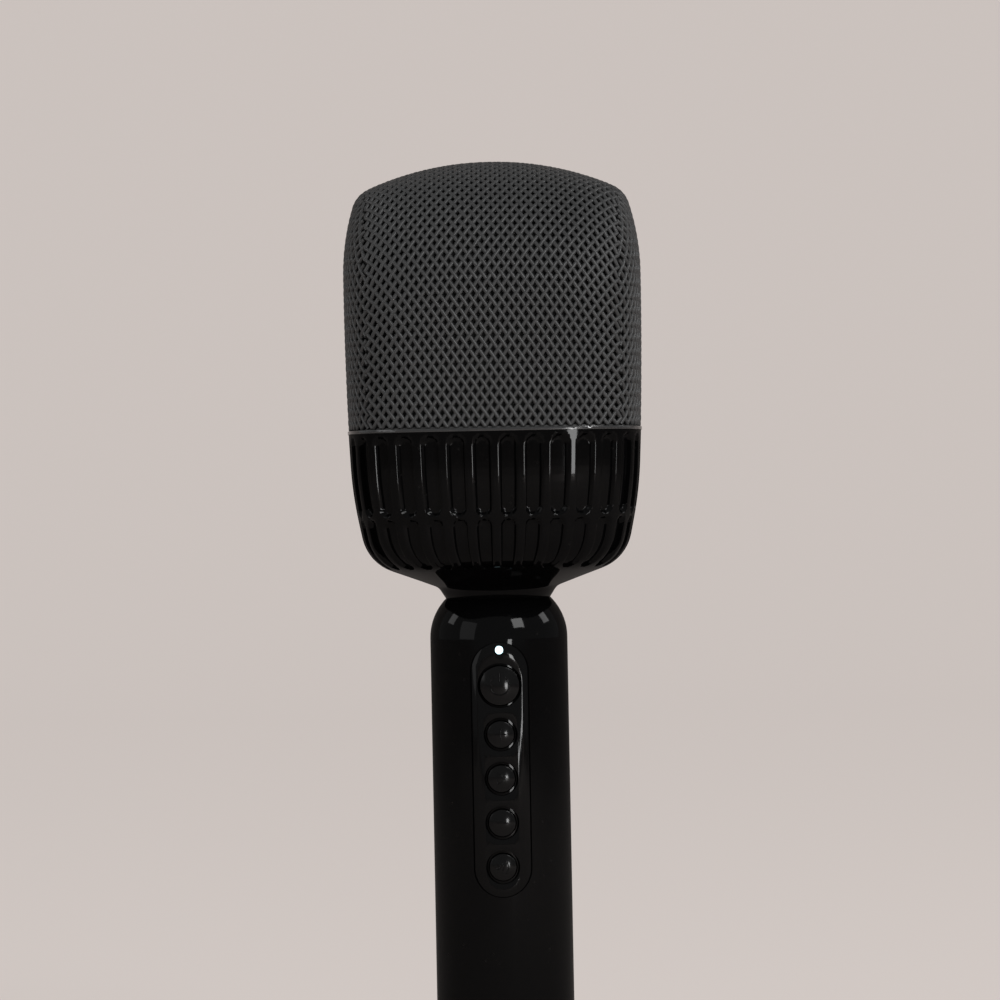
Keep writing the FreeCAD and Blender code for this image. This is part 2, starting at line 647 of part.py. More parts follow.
# ---------------------------------------------------------------- microphone capsule
def make_capsule_bridge():
    """Arch across the speaker with a hollow post that carries the capsule."""
    reach = BRIDGE_X + BRIDGE_LEG
    half = BRIDGE_WIDTH / 2
    foot = half + BRIDGE_FOOT_REACH
    bridge = box(-reach, reach, -half, half, BRIDGE_Z, POST_Z)
    bridge = bridge.fuse(cylinder(CAPSULE_POST_DIAMETER / 2, POST_Z, CAPSULE_POST_HEIGHT))
    for side in (-1, 1):
        x0, x1 = sorted((side * BRIDGE_X, side * reach))
        bridge = bridge.fuse(box(x0, x1, -half, half, BAFFLE_TOP, BRIDGE_Z))
        bridge = bridge.fuse(box(x0, x1, -foot, foot, BAFFLE_TOP, BAFFLE_TOP + BRIDGE_FOOT_THICKNESS))
    holes = [cylinder(SCREW_RADIUS + THREAD_GAP, BAFFLE_TOP - 1, BRIDGE_FOOT_THICKNESS + 2, x, y)
             for x, y in bridge_feet()]
    return bridge.removeSplitter().cut(holes)


def make_bridge_screws():
    seat = BAFFLE_TOP + BRIDGE_FOOT_THICKNESS
    length = BRIDGE_FOOT_THICKNESS + BAFFLE_THICKNESS
    return Part.makeCompound([screw_down(x, y, seat, length) for x, y in bridge_feet()])


def make_capsule_shock_mount():
    radius = CAPSULE_DIAMETER / 2 + FIT
    cup = cylinder(radius + SHOCK_MOUNT_WALL, MOUNT_Z, SHOCK_MOUNT_HEIGHT)
    return cup.cut(cylinder(radius, MOUNT_Z + SHOCK_MOUNT_FLOOR, SHOCK_MOUNT_HEIGHT))


def make_mic_capsule():
    """Capsule with a shallow recessed face."""
    base = MOUNT_Z + SHOCK_MOUNT_FLOOR
    radius = CAPSULE_DIAMETER / 2
    can = cylinder(radius, base, CAPSULE_HEIGHT)
    return can.cut(cylinder(radius * 0.8, base + CAPSULE_HEIGHT - SPEAKER_FLANGE, SPEAKER_FLANGE + 1))


# ---------------------------------------------------------------- neck
def make_neck_tube():
    """Threaded tube with a flange that draws the handle's halves to the collar."""
    flange_z = NECK_Z - NECK_PLATE - NECK_FLANGE_THICKNESS
    top = NECK_Z + NECK_PLATE + NECK_NUT_HEIGHT + TUBE_OVERRUN
    tube = cylinder(TUBE_RADIUS, flange_z, top - flange_z)
    tube = tube.fuse(cylinder(NECK_FLANGE_DIAMETER / 2, flange_z, NECK_FLANGE_THICKNESS))
    return tube.cut(cylinder(TUBE_RADIUS - NECK_TUBE_WALL, flange_z - 1, top - flange_z + 2)).removeSplitter()


def make_neck_nut():
    """Slotted ring nut above the collar's floor."""
    base = NECK_Z + NECK_PLATE
    nut = ring(NUT_RADIUS, TUBE_RADIUS + THREAD_GAP, base, NECK_NUT_HEIGHT)
    slot = NECK_TUBE_WALL
    slots = [cylinder(slot, base - 1, NECK_NUT_HEIGHT + 2, x, y) for x, y in on_circle(NUT_RADIUS, NUT_SLOTS)]
    return nut.cut(slots)


# ---------------------------------------------------------------- handle
PANEL_TOP_Z = NECK_Z - PANEL_TOP
PANEL_Z = PANEL_TOP_Z - PANEL_HEIGHT
LAND_HALF = PANEL_WIDTH / 2 + HANDLE_WALL
BUTTONS = {
    "power": (POWER_Z, POWER_DIAMETER, POWER_WELL_DIAMETER),
    "volume_up": (POWER_Z - FIRST_STEP, BUTTON_DIAMETER, BUTTON_WELL_DIAMETER),
    "play": (POWER_Z - FIRST_STEP - BUTTON_STEP, BUTTON_DIAMETER, BUTTON_WELL_DIAMETER),
    "volume_down": (POWER_Z - FIRST_STEP - 2 * BUTTON_STEP, BUTTON_DIAMETER, BUTTON_WELL_DIAMETER),
    "echo": (POWER_Z - FIRST_STEP - 3 * BUTTON_STEP, BUTTON_DIAMETER, BUTTON_WELL_DIAMETER),
}
HANDLE_SCREW_X = BOARD_WIDTH / 2 + BOSS_RADIUS + 2 * FIT
HANDLE_SCREW_Z = (BATTERY_BASE + BATTERY_LENGTH + BOARD_TOP) / 2
CAP_SCREW_Y = CAVITY_RADIUS - BOSS_RADIUS - FIT
HANDLE_SEAT_Y = 5.0          # screw heads sit this far behind the parting plane
CAP_BOSS_HEIGHT = 8.0
STANDOFF_RADIUS = 1.8
STANDOFF_X = BOARD_WIDTH / 2 - STANDOFF_RADIUS - FIT
STANDOFF_ENDS = 4.0          # board's end to its screws
BOARD_PARTS = [              # x, height above the board's foot, width, height and thickness
    (0.0, 14.0, 7.0, 7.0, 1.1),
    (0.0, 28.0, 12.0, 9.0, 1.6),
    (-3.5, 41.0, 5.0, 6.0, 1.0),
    (4.0, 44.0, 4.0, 4.0, 1.8),
    (0.0, 54.0, 10.0, 4.0, 1.8),
]


def standoff_places():
    """Where the board is screwed to the front shell."""
    heights = (BOARD_Z + STANDOFF_ENDS, BOARD_TOP - STANDOFF_ENDS)
    return [(side * STANDOFF_X, z) for side in (-1, 1) for z in heights]


def handle_body(radius, base, top):
    """Round handle that rounds in to the neck, at a depth given by its radius."""
    drop = HANDLE_RADIUS - NECK_RADIUS
    arc = (drop * drop + SHOULDER_HEIGHT ** 2) / (2 * drop)
    centre_r, centre_z = HANDLE_RADIUS - arc, NECK_Z - SHOULDER_HEIGHT
    arc -= HANDLE_RADIUS - radius

    def point(z):
        return Vector(centre_r + math.sqrt(arc * arc - (z - centre_z) ** 2), 0, z)

    side_top, arc_top = point(centre_z), point(top)
    foot = Vector(radius, 0, base)
    edges = [
        Part.LineSegment(Vector(0, 0, base), foot).toShape(),
        Part.LineSegment(foot, side_top).toShape(),
        Part.Arc(side_top, point((centre_z + top) / 2), arc_top).toShape(),
        Part.LineSegment(arc_top, Vector(0, 0, top)).toShape(),
        Part.LineSegment(Vector(0, 0, top), Vector(0, 0, base)).toShape(),
    ]
    return Part.Face(Part.Wire(edges)).revolve(Vector(0, 0, 0), UP, 360)


def handle_tube():
    """Whole handle before it is split into its halves."""
    outside = handle_body(HANDLE_RADIUS, END_CAP_HEIGHT, NECK_Z)
    cavity = handle_body(CAVITY_RADIUS, END_CAP_HEIGHT - 1, NECK_Z - NECK_PLATE)
    return outside.cut([cavity, cylinder(TUBE_RADIUS + FIT, NECK_Z - NECK_PLATE - 1, NECK_PLATE + 2)])


def half_space(side):
    """Everything in front of (-1) or behind (+1) the parting plane."""
    y0, y1 = sorted((0.0, side * HANDLE_DIAMETER))
    return box(-HANDLE_DIAMETER, HANDLE_DIAMETER, y0, y1, 0, TOTAL_HEIGHT)


def cap_boss(side):
    """Boss in the foot of one half for the end cap's screw."""
    y = side * CAP_SCREW_Y
    boss = cylinder(BOSS_RADIUS, END_CAP_HEIGHT, CAP_BOSS_HEIGHT, 0, y)
    y0, y1 = sorted((y, side * (CAVITY_RADIUS + HANDLE_WALL / 2)))
    return boss.fuse(box(-BOSS_RADIUS, BOSS_RADIUS, y0, y1, END_CAP_HEIGHT, END_CAP_HEIGHT + CAP_BOSS_HEIGHT))


def side_bosses(side):
    """Bosses that the long handle screws pass through or bite into."""
    y0, y1 = sorted((0.0, side * HANDLE_RADIUS))
    limit = cylinder(CAVITY_RADIUS + HANDLE_WALL / 2, END_CAP_HEIGHT, NECK_Z - END_CAP_HEIGHT)
    return [rod(BOSS_RADIUS, y0, y1, HANDLE_SCREW_Z, x).common(limit) for x in (-HANDLE_SCREW_X, HANDLE_SCREW_X)]


def make_handle_front_shell():
    """Front half with a recess for the panel, guides for the buttons and standoffs for the board."""
    shell = handle_tube().common(half_space(-1))
    land = box(-LAND_HALF, LAND_HALF, -HANDLE_RADIUS, LAND_Y, PANEL_Z - HANDLE_WALL, PANEL_TOP_Z + FIT)
    land = land.common(cylinder(CAVITY_RADIUS + HANDLE_WALL / 4, 0, TOTAL_HEIGHT))
    standoffs = [rod(STANDOFF_RADIUS, LAND_Y - FIT, BOARD_FRONT, z, x) for x, z in standoff_places()]
    shell = shell.fuse([land, cap_boss(-1)] + side_bosses(-1) + standoffs)
    recess = stadium(PANEL_WIDTH + 2 * FIT, PANEL_HEIGHT + 2 * FIT, -HANDLE_DIAMETER, 0, PANEL_TOP_Z + FIT)
    recess = recess.cut(cylinder(RECESS_RADIUS, 0, TOTAL_HEIGHT))
    cuts = [recess, rod(LED_DIAMETER / 2 + FIT, -HANDLE_RADIUS, LAND_Y + 1, LED_Z)]
    for z, diameter, _ in BUTTONS.values():
        cuts.append(rod(diameter / 2 + BUTTON_CLEARANCE, -HANDLE_RADIUS, LAND_Y + 1, z))
    for x, z in standoff_places():
        cuts.append(rod(SCREW_RADIUS + THREAD_GAP, LAND_Y, BOARD_FRONT + 1, z, x))
    for x in (-HANDLE_SCREW_X, HANDLE_SCREW_X):
        cuts.append(rod(SCREW_RADIUS + THREAD_GAP, -SCREW_LENGTH, 1, HANDLE_SCREW_Z, x))
    cuts.append(cylinder(SCREW_RADIUS + THREAD_GAP, END_CAP_HEIGHT - 1, CAP_BOSS_HEIGHT, 0, -CAP_SCREW_Y))
    return shell.cut(cuts)


def make_handle_rear_shell():
    """Plain rear half with two screw wells."""
    shell = handle_tube().common(half_space(1))
    shell = shell.fuse([cap_boss(1)] + side_bosses(1))
    cuts = [cylinder(SCREW_RADIUS + THREAD_GAP, END_CAP_HEIGHT - 1, CAP_BOSS_HEIGHT, 0, CAP_SCREW_Y)]
    for x in (-HANDLE_SCREW_X, HANDLE_SCREW_X):
        cuts.append(rod(SCREW_RADIUS + SCREW_HOLE_CLEARANCE, -1, HANDLE_RADIUS, HANDLE_SCREW_Z, x))
        cuts.append(rod(HEAD_RADIUS + SCREW_HOLE_CLEARANCE, HANDLE_SEAT_Y, HANDLE_RADIUS, HANDLE_SCREW_Z, x))
    return shell.cut(cuts)


def make_handle_screws():
    length = HANDLE_SEAT_Y + SCREW_LENGTH - 1
    return Part.makeCompound([screw_along(x, HANDLE_SEAT_Y, HANDLE_SCREW_Z, length, 90)
                              for x in (-HANDLE_SCREW_X, HANDLE_SCREW_X)])


def make_control_panel():
    """Thin stadium inlay that follows the handle's curve, with a well for every button."""
    inlay = stadium(PANEL_WIDTH, PANEL_HEIGHT, -HANDLE_DIAMETER, 0, PANEL_TOP_Z)
    inlay = inlay.common(ring(PANEL_FACE, RECESS_RADIUS + PANEL_GLUE, 0, TOTAL_HEIGHT))
    wells = [rod(well / 2, -HANDLE_DIAMETER, 0, z) for z, _, well in BUTTONS.values()]
    return inlay.cut(wells + [rod(LED_DIAMETER / 2 + FIT, -HANDLE_DIAMETER, 0, LED_Z)])


def make_button(z, diameter):
    """Cap with a curved face, and a flange that keeps it behind the shell."""
    face = PANEL_FACE + BUTTON_PROUD
    cap = rod(diameter / 2, -HANDLE_DIAMETER, FLANGE_FRONT, z)
    cap = cap.common(cylinder(face, 0, TOTAL_HEIGHT))
    flange = rod(diameter / 2 + BUTTON_FLANGE_WIDTH, FLANGE_FRONT, FLANGE_BACK, z)
    return cap.fuse(flange).removeSplitter()


def make_plunger(z):
    return rod(PLUNGER_DIAMETER / 2, FLANGE_BACK, SWITCH_FRONT + PLUNGER_REACH, z)


def make_tact_switches():
    """One switch body behind each button, with a well for its plunger."""
    half = SWITCH_SIZE / 2
    depth = PLUNGER_REACH + BUTTON_TRAVEL + RUNNING_GAP
    switches = []
    for z, _, _ in BUTTONS.values():
        body = box(-half, half, SWITCH_FRONT, BOARD_FRONT, z - half, z + half)
        well = rod(PLUNGER_DIAMETER / 2 + RUNNING_GAP, SWITCH_FRONT - 1, SWITCH_FRONT + depth, z)
        switches.append(body.cut(well))
    return Part.makeCompound(switches)


def make_led_light_pipe():
    pipe = rod(LED_DIAMETER / 2, -HANDLE_RADIUS, BOARD_FRONT - LED_DIAMETER / 2, LED_Z)
    return pipe.common(cylinder(PANEL_FACE + FIT, 0, TOTAL_HEIGHT))


def make_status_led():
    half = LED_DIAMETER / 2
    return box(-half, half, BOARD_FRONT - half, BOARD_FRONT, LED_Z - half, LED_Z + half)


def make_control_board():
    half = BOARD_WIDTH / 2
    board = box(-half, half, BOARD_FRONT, BOARD_BACK, BOARD_Z, BOARD_TOP)
    return board.cut([rod(SCREW_RADIUS + THREAD_GAP, BOARD_FRONT - 1, BOARD_BACK + 1, z, x)
                      for x, z in standoff_places()])


def make_board_screws():
    return Part.makeCompound([screw_along(x, BOARD_BACK, z, BOARD_BACK - LAND_Y - FIT, 90)
                              for x, z in standoff_places()])


def make_board_components():
    """Amplifier, radio module, processor, coil and connector on the board's rear face."""
    parts = []
    for x, rise, width, height, tall in BOARD_PARTS:
        z = BOARD_Z + rise
        parts.append(box(x - width / 2, x + width / 2, BOARD_BACK, BOARD_BACK + tall, z - height / 2, z + height / 2))
    return Part.makeCompound(parts)


def make_battery_cell():
    cell = cylinder(BATTERY_DIAMETER / 2, BATTERY_BASE, BATTERY_LENGTH, 0, BATTERY_OFFSET)
    return cell.fuse(cylinder(BATTERY_DIAMETER / 6, BATTERY_BASE + BATTERY_LENGTH, 1, 0, BATTERY_OFFSET))


def make_battery_cradle():
    """Half trough with end walls, on a rib that rests against the rear shell."""
    inner = BATTERY_DIAMETER / 2 + FIT
    outer = inner + CRADLE_WALL
    low = BATTERY_BASE - FIT
    high = BATTERY_BASE + BATTERY_LENGTH + 1 + FIT
    trough = cylinder(outer, low - CRADLE_WALL, high - low + 2 * CRADLE_WALL, 0, BATTERY_OFFSET)
    trough = trough.cut(cylinder(inner, low, high - low, 0, BATTERY_OFFSET))
    trough = trough.common(box(-outer, outer, BATTERY_OFFSET, HANDLE_RADIUS, 0, NECK_Z))
    rib = box(-outer / 3, outer / 3, BATTERY_OFFSET + inner + CRADLE_WALL / 2, HANDLE_RADIUS, low + outer, high - outer)
    return trough.fuse(rib.common(cylinder(CAVITY_RADIUS - FIT / 2, 0, NECK_Z))).removeSplitter()


# ---------------------------------------------------------------- foot
USB_Z = FOOT_PAD_HEIGHT + FIT * 4
CAP_FLOOR_TOP = FOOT_PAD_HEIGHT + END_CAP_FLOOR
CHARGE_BOARD_Z = CAP_FLOOR_TOP + 1.0
CHARGE_BOARD_Y = USB_THICKNESS / 2


def slot_bar(width, thickness, z0, z1):
    """Upright bar with a rounded-slot plan, long along X."""
    r = thickness / 2
    reach = width / 2 - r
    middle = box(-reach, reach, -r, r, z0, z1)
    ends = [cylinder(r, z0, z1 - z0, side * reach, 0) for side in (-1, 1)]
    return middle.fuse(ends).removeSplitter()


def make_usb_c_socket():
    """Charging socket: a shell open at the bottom with a contact tongue."""
    top = USB_Z + USB_LENGTH
    shell = slot_bar(USB_WIDTH, USB_THICKNESS, USB_Z, top)
    hollow = slot_bar(USB_WIDTH - 2 * USB_SHELL, USB_THICKNESS - 2 * USB_SHELL, USB_Z - 1, top - 1)
    reach, half = USB_TONGUE_WIDTH / 2, USB_TONGUE_THICKNESS / 2
    tongue = box(-reach, reach, -half, half, USB_Z + 1, top - 0.5)
    return shell.cut(hollow).fuse(tongue).removeSplitter()


def make_charge_board():
    half = CHARGE_BOARD_WIDTH / 2
    return box(-half, half, CHARGE_BOARD_Y, CHARGE_BOARD_Y + BOARD_THICKNESS,
               CHARGE_BOARD_Z, CHARGE_BOARD_Z + CHARGE_BOARD_HEIGHT)


def make_end_cap():
    """Screwed foot of the handle: floor, spigot, screw posts and guides for the charging board."""
    outer = HANDLE_RADIUS - END_CAP_INSET
    inner = outer - END_CAP_WALL
    spigot = CAVITY_RADIUS - FIT
    chamfer = END_CAP_WALL * 0.8
    lip = spigot - END_CAP_WALL
    rise = inner - lip
    cap = turned([
        (0, FOOT_PAD_HEIGHT), (outer - chamfer, FOOT_PAD_HEIGHT), (outer, FOOT_PAD_HEIGHT + chamfer),
        (outer, END_CAP_HEIGHT), (spigot, END_CAP_HEIGHT), (spigot, END_CAP_HEIGHT + SPIGOT_HEIGHT),
        (lip, END_CAP_HEIGHT + SPIGOT_HEIGHT), (lip, END_CAP_HEIGHT - rise),
        (inner, END_CAP_HEIGHT - 2 * rise), (inner, CAP_FLOOR_TOP), (0, CAP_FLOOR_TOP),
    ])
    guide_x = CHARGE_BOARD_WIDTH / 2
    for side in (-1, 1):
        y = side * CAP_SCREW_Y
        cap = cap.fuse(cylinder(BOSS_RADIUS, CAP_FLOOR_TOP - FIT, END_CAP_HEIGHT - CAP_FLOOR_TOP + FIT, 0, y))
        x0, x1 = sorted((side * (guide_x - 1), side * (guide_x + END_CAP_WALL)))
        guide = box(x0, x1, CHARGE_BOARD_Y - END_CAP_WALL, CHARGE_BOARD_Y + BOARD_THICKNESS + END_CAP_WALL,
                    CAP_FLOOR_TOP - FIT, END_CAP_HEIGHT)
        cap = cap.fuse(guide)
    room = BOSS_RADIUS + RUNNING_GAP
    cuts = [slot_bar(USB_WIDTH + 2 * USB_OVERMOULD_CLEARANCE, USB_THICKNESS + 2 * USB_OVERMOULD_CLEARANCE,
                     0, CAP_FLOOR_TOP + 1)]
    cuts.append(box(-guide_x - FIT, guide_x + FIT, CHARGE_BOARD_Y - FIT, CHARGE_BOARD_Y + BOARD_THICKNESS + FIT,
                    CHARGE_BOARD_Z, END_CAP_HEIGHT + 1))
    for side in (-1, 1):
        y0, y1 = sorted((side * (CAP_SCREW_Y - room), side * HANDLE_RADIUS))
        cuts.append(box(-room, room, y0, y1, END_CAP_HEIGHT, END_CAP_HEIGHT + SPIGOT_HEIGHT + 1))
        y = side * CAP_SCREW_Y
        cuts.append(cylinder(SCREW_RADIUS + THREAD_GAP, 0, END_CAP_HEIGHT + 1, 0, y))
        cuts.append(cylinder(HEAD_RADIUS + FIT, 0, FOOT_PAD_HEIGHT + SCREW_HEAD_HEIGHT, 0, y))
    return cap.cut(cuts)


def make_end_cap_screws():
    seat = FOOT_PAD_HEIGHT + SCREW_HEAD_HEIGHT
    length = END_CAP_HEIGHT - seat + CAP_BOSS_HEIGHT - 2
    return Part.makeCompound([screw_up(0, side * CAP_SCREW_Y, seat, length) for side in (-1, 1)])


def make_foot_pad():
    outer = HANDLE_RADIUS - END_CAP_INSET - FOOT_PAD_INSET - END_CAP_WALL * 0.3
    return ring(outer, outer - FOOT_PAD_WIDTH, 0, FOOT_PAD_HEIGHT)


# ---------------------------------------------------------------- leads
def lead(points, bend):
    """Insulated wire along straight runs joined by tangent arcs."""
    corners = [Vector(*p) for p in points]
    edges = []
    start = corners[0]
    for before, corner, after in zip(corners, corners[1:], corners[2:]):
        a, b = (before - corner).normalize(), (after - corner).normalize()
        half = a.getAngle(b) / 2
        first, last = corner + a * (bend / math.tan(half)), corner + b * (bend / math.tan(half))
        bisector = (a + b).normalize()
        middle = corner + bisector * (bend / math.sin(half) - bend)
        edges += [Part.LineSegment(start, first).toShape(), Part.Arc(first, middle, last).toShape()]
        start = last
    edges.append(Part.LineSegment(start, corners[-1]).toShape())
    path = Part.Wire(edges)
    circle = Part.Wire(Part.makeCircle(LEAD_DIAMETER / 2, corners[0], corners[1] - corners[0]))
    return path.makePipeShell([circle], True, False)


LEAD_BEND = 2.6
SPEAKER_LEAD_X = 2.0
LEAD_BOARD_Y = BOARD_BACK + LEAD_DIAMETER / 2 + FIT
LEAD_FLOOR_Z = BASKET_Z - MAGNET_HEIGHT - YOKE_PLATE - 2 * LEAD_DIAMETER


def make_speaker_leads():
    """Pair of wires from the basket's side down the neck to the board."""
    side = MAGNET_DIAMETER / 2 + 2 * LEAD_DIAMETER
    wires = []
    for x in (-SPEAKER_LEAD_X, SPEAKER_LEAD_X):
        wires.append(lead([
            (x, -side, BASKET_Z - FIT), (x, -side, LEAD_FLOOR_Z - 3), (x, -4, LEAD_FLOOR_Z - 4),
            (x, -4, NECK_Z - 6), (x, LEAD_BOARD_Y, NECK_Z - 9), (x, LEAD_BOARD_Y, BOARD_TOP - 6),
        ], LEAD_BEND))
    return Part.makeCompound(wires)


def make_capsule_leads():
    """Pair of wires from the capsule round the speaker and down the neck to the board."""
    post = CAPSULE_POST_DIAMETER / 2 + LEAD_DIAMETER
    wires = []
    reach = CAPSULE_LEAD_Y
    for x in (-LEAD_PAIR / 2, LEAD_PAIR / 2):
        wires.append(lead([
            (x, post, MOUNT_Z - FIT), (x, post, BRIDGE_Z - 2), (x, reach, BRIDGE_Z - 2),
            (x, reach, BASKET_Z - 7), (x, 5, LEAD_FLOOR_Z - 4), (x, 5, NECK_Z - 8),
            (4 * x, LEAD_BOARD_Y + 3, NECK_Z - 12), (4 * x, LEAD_BOARD_Y + 3, BOARD_TOP - 5),
        ], LEAD_BEND))
    return Part.makeCompound(wires)


# ---------------------------------------------------------------- output
FIXED_PIECES = {
    "grille_mesh": make_grille_mesh,
    "grille_inner_mesh": make_grille_inner_mesh,
    "windscreen_foam": make_windscreen_foam,
    "grille_rim_ring": make_grille_rim_ring,
    "collar_shell": make_collar_shell,
    "collar_trim_ring": make_collar_trim_ring,
    "speaker_baffle": make_speaker_baffle,
    "baffle_screws": make_baffle_screws,
    "speaker_gasket": make_speaker_gasket,
    "speaker_frame": make_speaker_frame,
    "speaker_magnet": make_speaker_magnet,
    "speaker_yoke": make_speaker_yoke,
    "speaker_voice_coil": make_speaker_voice_coil,
    "speaker_cone": make_speaker_cone,
    "speaker_dust_cap": make_speaker_dust_cap,
    "speaker_surround": make_speaker_surround,
    "speaker_screws": make_speaker_screws,
    "capsule_bridge": make_capsule_bridge,
    "bridge_screws": make_bridge_screws,
    "capsule_shock_mount": make_capsule_shock_mount,
    "mic_capsule": make_mic_capsule,
    "neck_tube": make_neck_tube,
    "neck_nut": make_neck_nut,
    "handle_front_shell": make_handle_front_shell,
    "handle_rear_shell": make_handle_rear_shell,
    "handle_screws": make_handle_screws,
    "control_panel": make_control_panel,
    "tact_switches": make_tact_switches,
    "led_light_pipe": make_led_light_pipe,
    "status_led": make_status_led,
    "control_board": make_control_board,
    "board_screws": make_board_screws,
    "board_components": make_board_components,
    "battery_cell": make_battery_cell,
    "battery_cradle": make_battery_cradle,
    "usb_c_socket": make_usb_c_socket,
    "charge_board": make_charge_board,
    "end_cap": make_end_cap,
    "end_cap_screws": make_end_cap_screws,
    "foot_pad": make_foot_pad,
    "speaker_leads": make_speaker_leads,
    "capsule_leads": make_capsule_leads,
}


def build_pieces():
    """Every piece by its node's name."""
    pieces = {name: make() for name, make in FIXED_PIECES.items()}
    for name, (z, diameter, _) in BUTTONS.items():
        pieces[name + "_button"] = make_button(z, diameter)
        pieces[name + "_plunger"] = make_plunger(z)
    return pieces


os.makedirs("parts", exist_ok=True)
for node, shape in build_pieces().items():
    shape.exportStep("parts/" + node + ".step")
    print(node, round(shape.Volume, 1), len(shape.Solids), shape.isValid())
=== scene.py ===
"""Looks of the wireless karaoke microphone: woven grille, pocketed gloss collar and push-button handle."""
import json
import logging
import math
from dataclasses import dataclass
from enum import Enum
from typing import Callable

import bmesh
import bpy
import numpy as np
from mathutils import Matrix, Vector


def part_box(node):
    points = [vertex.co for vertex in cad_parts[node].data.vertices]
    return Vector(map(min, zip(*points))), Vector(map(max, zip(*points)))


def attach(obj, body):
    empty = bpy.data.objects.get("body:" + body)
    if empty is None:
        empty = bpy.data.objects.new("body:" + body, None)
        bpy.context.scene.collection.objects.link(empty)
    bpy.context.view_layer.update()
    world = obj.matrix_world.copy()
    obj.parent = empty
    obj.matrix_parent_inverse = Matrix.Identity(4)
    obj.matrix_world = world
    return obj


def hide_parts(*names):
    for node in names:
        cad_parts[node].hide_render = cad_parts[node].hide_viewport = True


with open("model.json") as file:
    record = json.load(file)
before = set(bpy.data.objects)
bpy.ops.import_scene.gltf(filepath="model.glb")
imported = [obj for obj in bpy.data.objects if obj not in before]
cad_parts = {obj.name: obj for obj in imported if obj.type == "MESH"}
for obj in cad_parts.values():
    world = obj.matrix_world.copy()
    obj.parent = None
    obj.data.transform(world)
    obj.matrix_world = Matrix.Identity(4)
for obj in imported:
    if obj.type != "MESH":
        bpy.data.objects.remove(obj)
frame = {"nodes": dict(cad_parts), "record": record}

MM = 0.001
DUST_COLOUR = (0.35, 0.33, 0.31)
SEAM_STEP = 0.2              # how far the lip stands out past the seam, in millimetres
BUTTON_ROUNDING = 0.25       # millimetres, as are the ones below
ROUNDINGS = {"collar_trim_ring": 0.22, "control_panel": 0.2, "end_cap": 0.2, "foot_pad": 0.25}
# name, place in metres, width in metres, watts
LAMPS = (("key lamp", (0.8, -1.1, 0.9), 0.5, 15.0),
         ("front card", (0.33, -1.0, 0.07), 0.12, 1.6),
         ("fill lamp", (-1.3, -0.9, 0.6), 0.8, 3.0),
         ("edge lamp right", (1.1, 0.1, 0.7), 0.3, 3.0),
         ("edge lamp left", (-1.1, 0.1, 0.7), 0.3, 1.5))
LOG = logging.getLogger("microphone")
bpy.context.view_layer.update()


# ---------------------------------------------------------------- shared shader groups
def new_group(name: str, inputs: dict[str, float], outputs: dict[str, str]) -> bpy.types.NodeTree:
    """Start a shader node group.

    Args:
        name: The group's name.
        inputs: Float inputs and their default values.
        outputs: Output names and their socket types.

    Returns:
        The empty group with its sockets made.
    """
    group = bpy.data.node_groups.new(name, "ShaderNodeTree")
    for label, value in inputs.items():
        socket = group.interface.new_socket(label, in_out="INPUT", socket_type="NodeSocketFloat")
        socket.default_value = value
    for label, kind in outputs.items():
        group.interface.new_socket(label, in_out="OUTPUT", socket_type=kind)
    return group


def surface_group() -> bpy.types.NodeTree:
    """Fine grain, broad mottling and dust as values over the surface.

    Returns:
        The group, with outputs Grain, Mottle and Dust between 0 and 1.
    """
    inputs = {"Grain Scale": 900.0, "Mottle Scale": 40.0, "Dust Scale": 260.0}
    outputs = {"Grain": "NodeSocketFloat", "Mottle": "NodeSocketFloat", "Dust": "NodeSocketFloat"}
    group = new_group("surface variation", inputs, outputs)
    nodes, links = group.nodes, group.links
    place = nodes.new("ShaderNodeTexCoord")
    source, result = nodes.new("NodeGroupInput"), nodes.new("NodeGroupOutput")
    for label, detail in (("Grain", 3.0), ("Mottle", 4.0)):
        noise = nodes.new("ShaderNodeTexNoise")
        noise.inputs["Detail"].default_value = detail
        links.new(place.outputs["Object"], noise.inputs["Vector"])
        links.new(source.outputs[label + " Scale"], noise.inputs["Scale"])
        links.new(noise.outputs["Fac"], result.inputs[label])
    specks = nodes.new("ShaderNodeTexVoronoi")
    links.new(place.outputs["Object"], specks.inputs["Vector"])
    links.new(source.outputs["Dust Scale"], specks.inputs["Scale"])
    spot = nodes.new("ShaderNodeMapRange")
    spot.inputs["From Min"].default_value = 0.10
    spot.inputs["From Max"].default_value = 0.04
    links.new(specks.outputs["Distance"], spot.inputs["Value"])
    links.new(spot.outputs["Result"], result.inputs["Dust"])
    return group


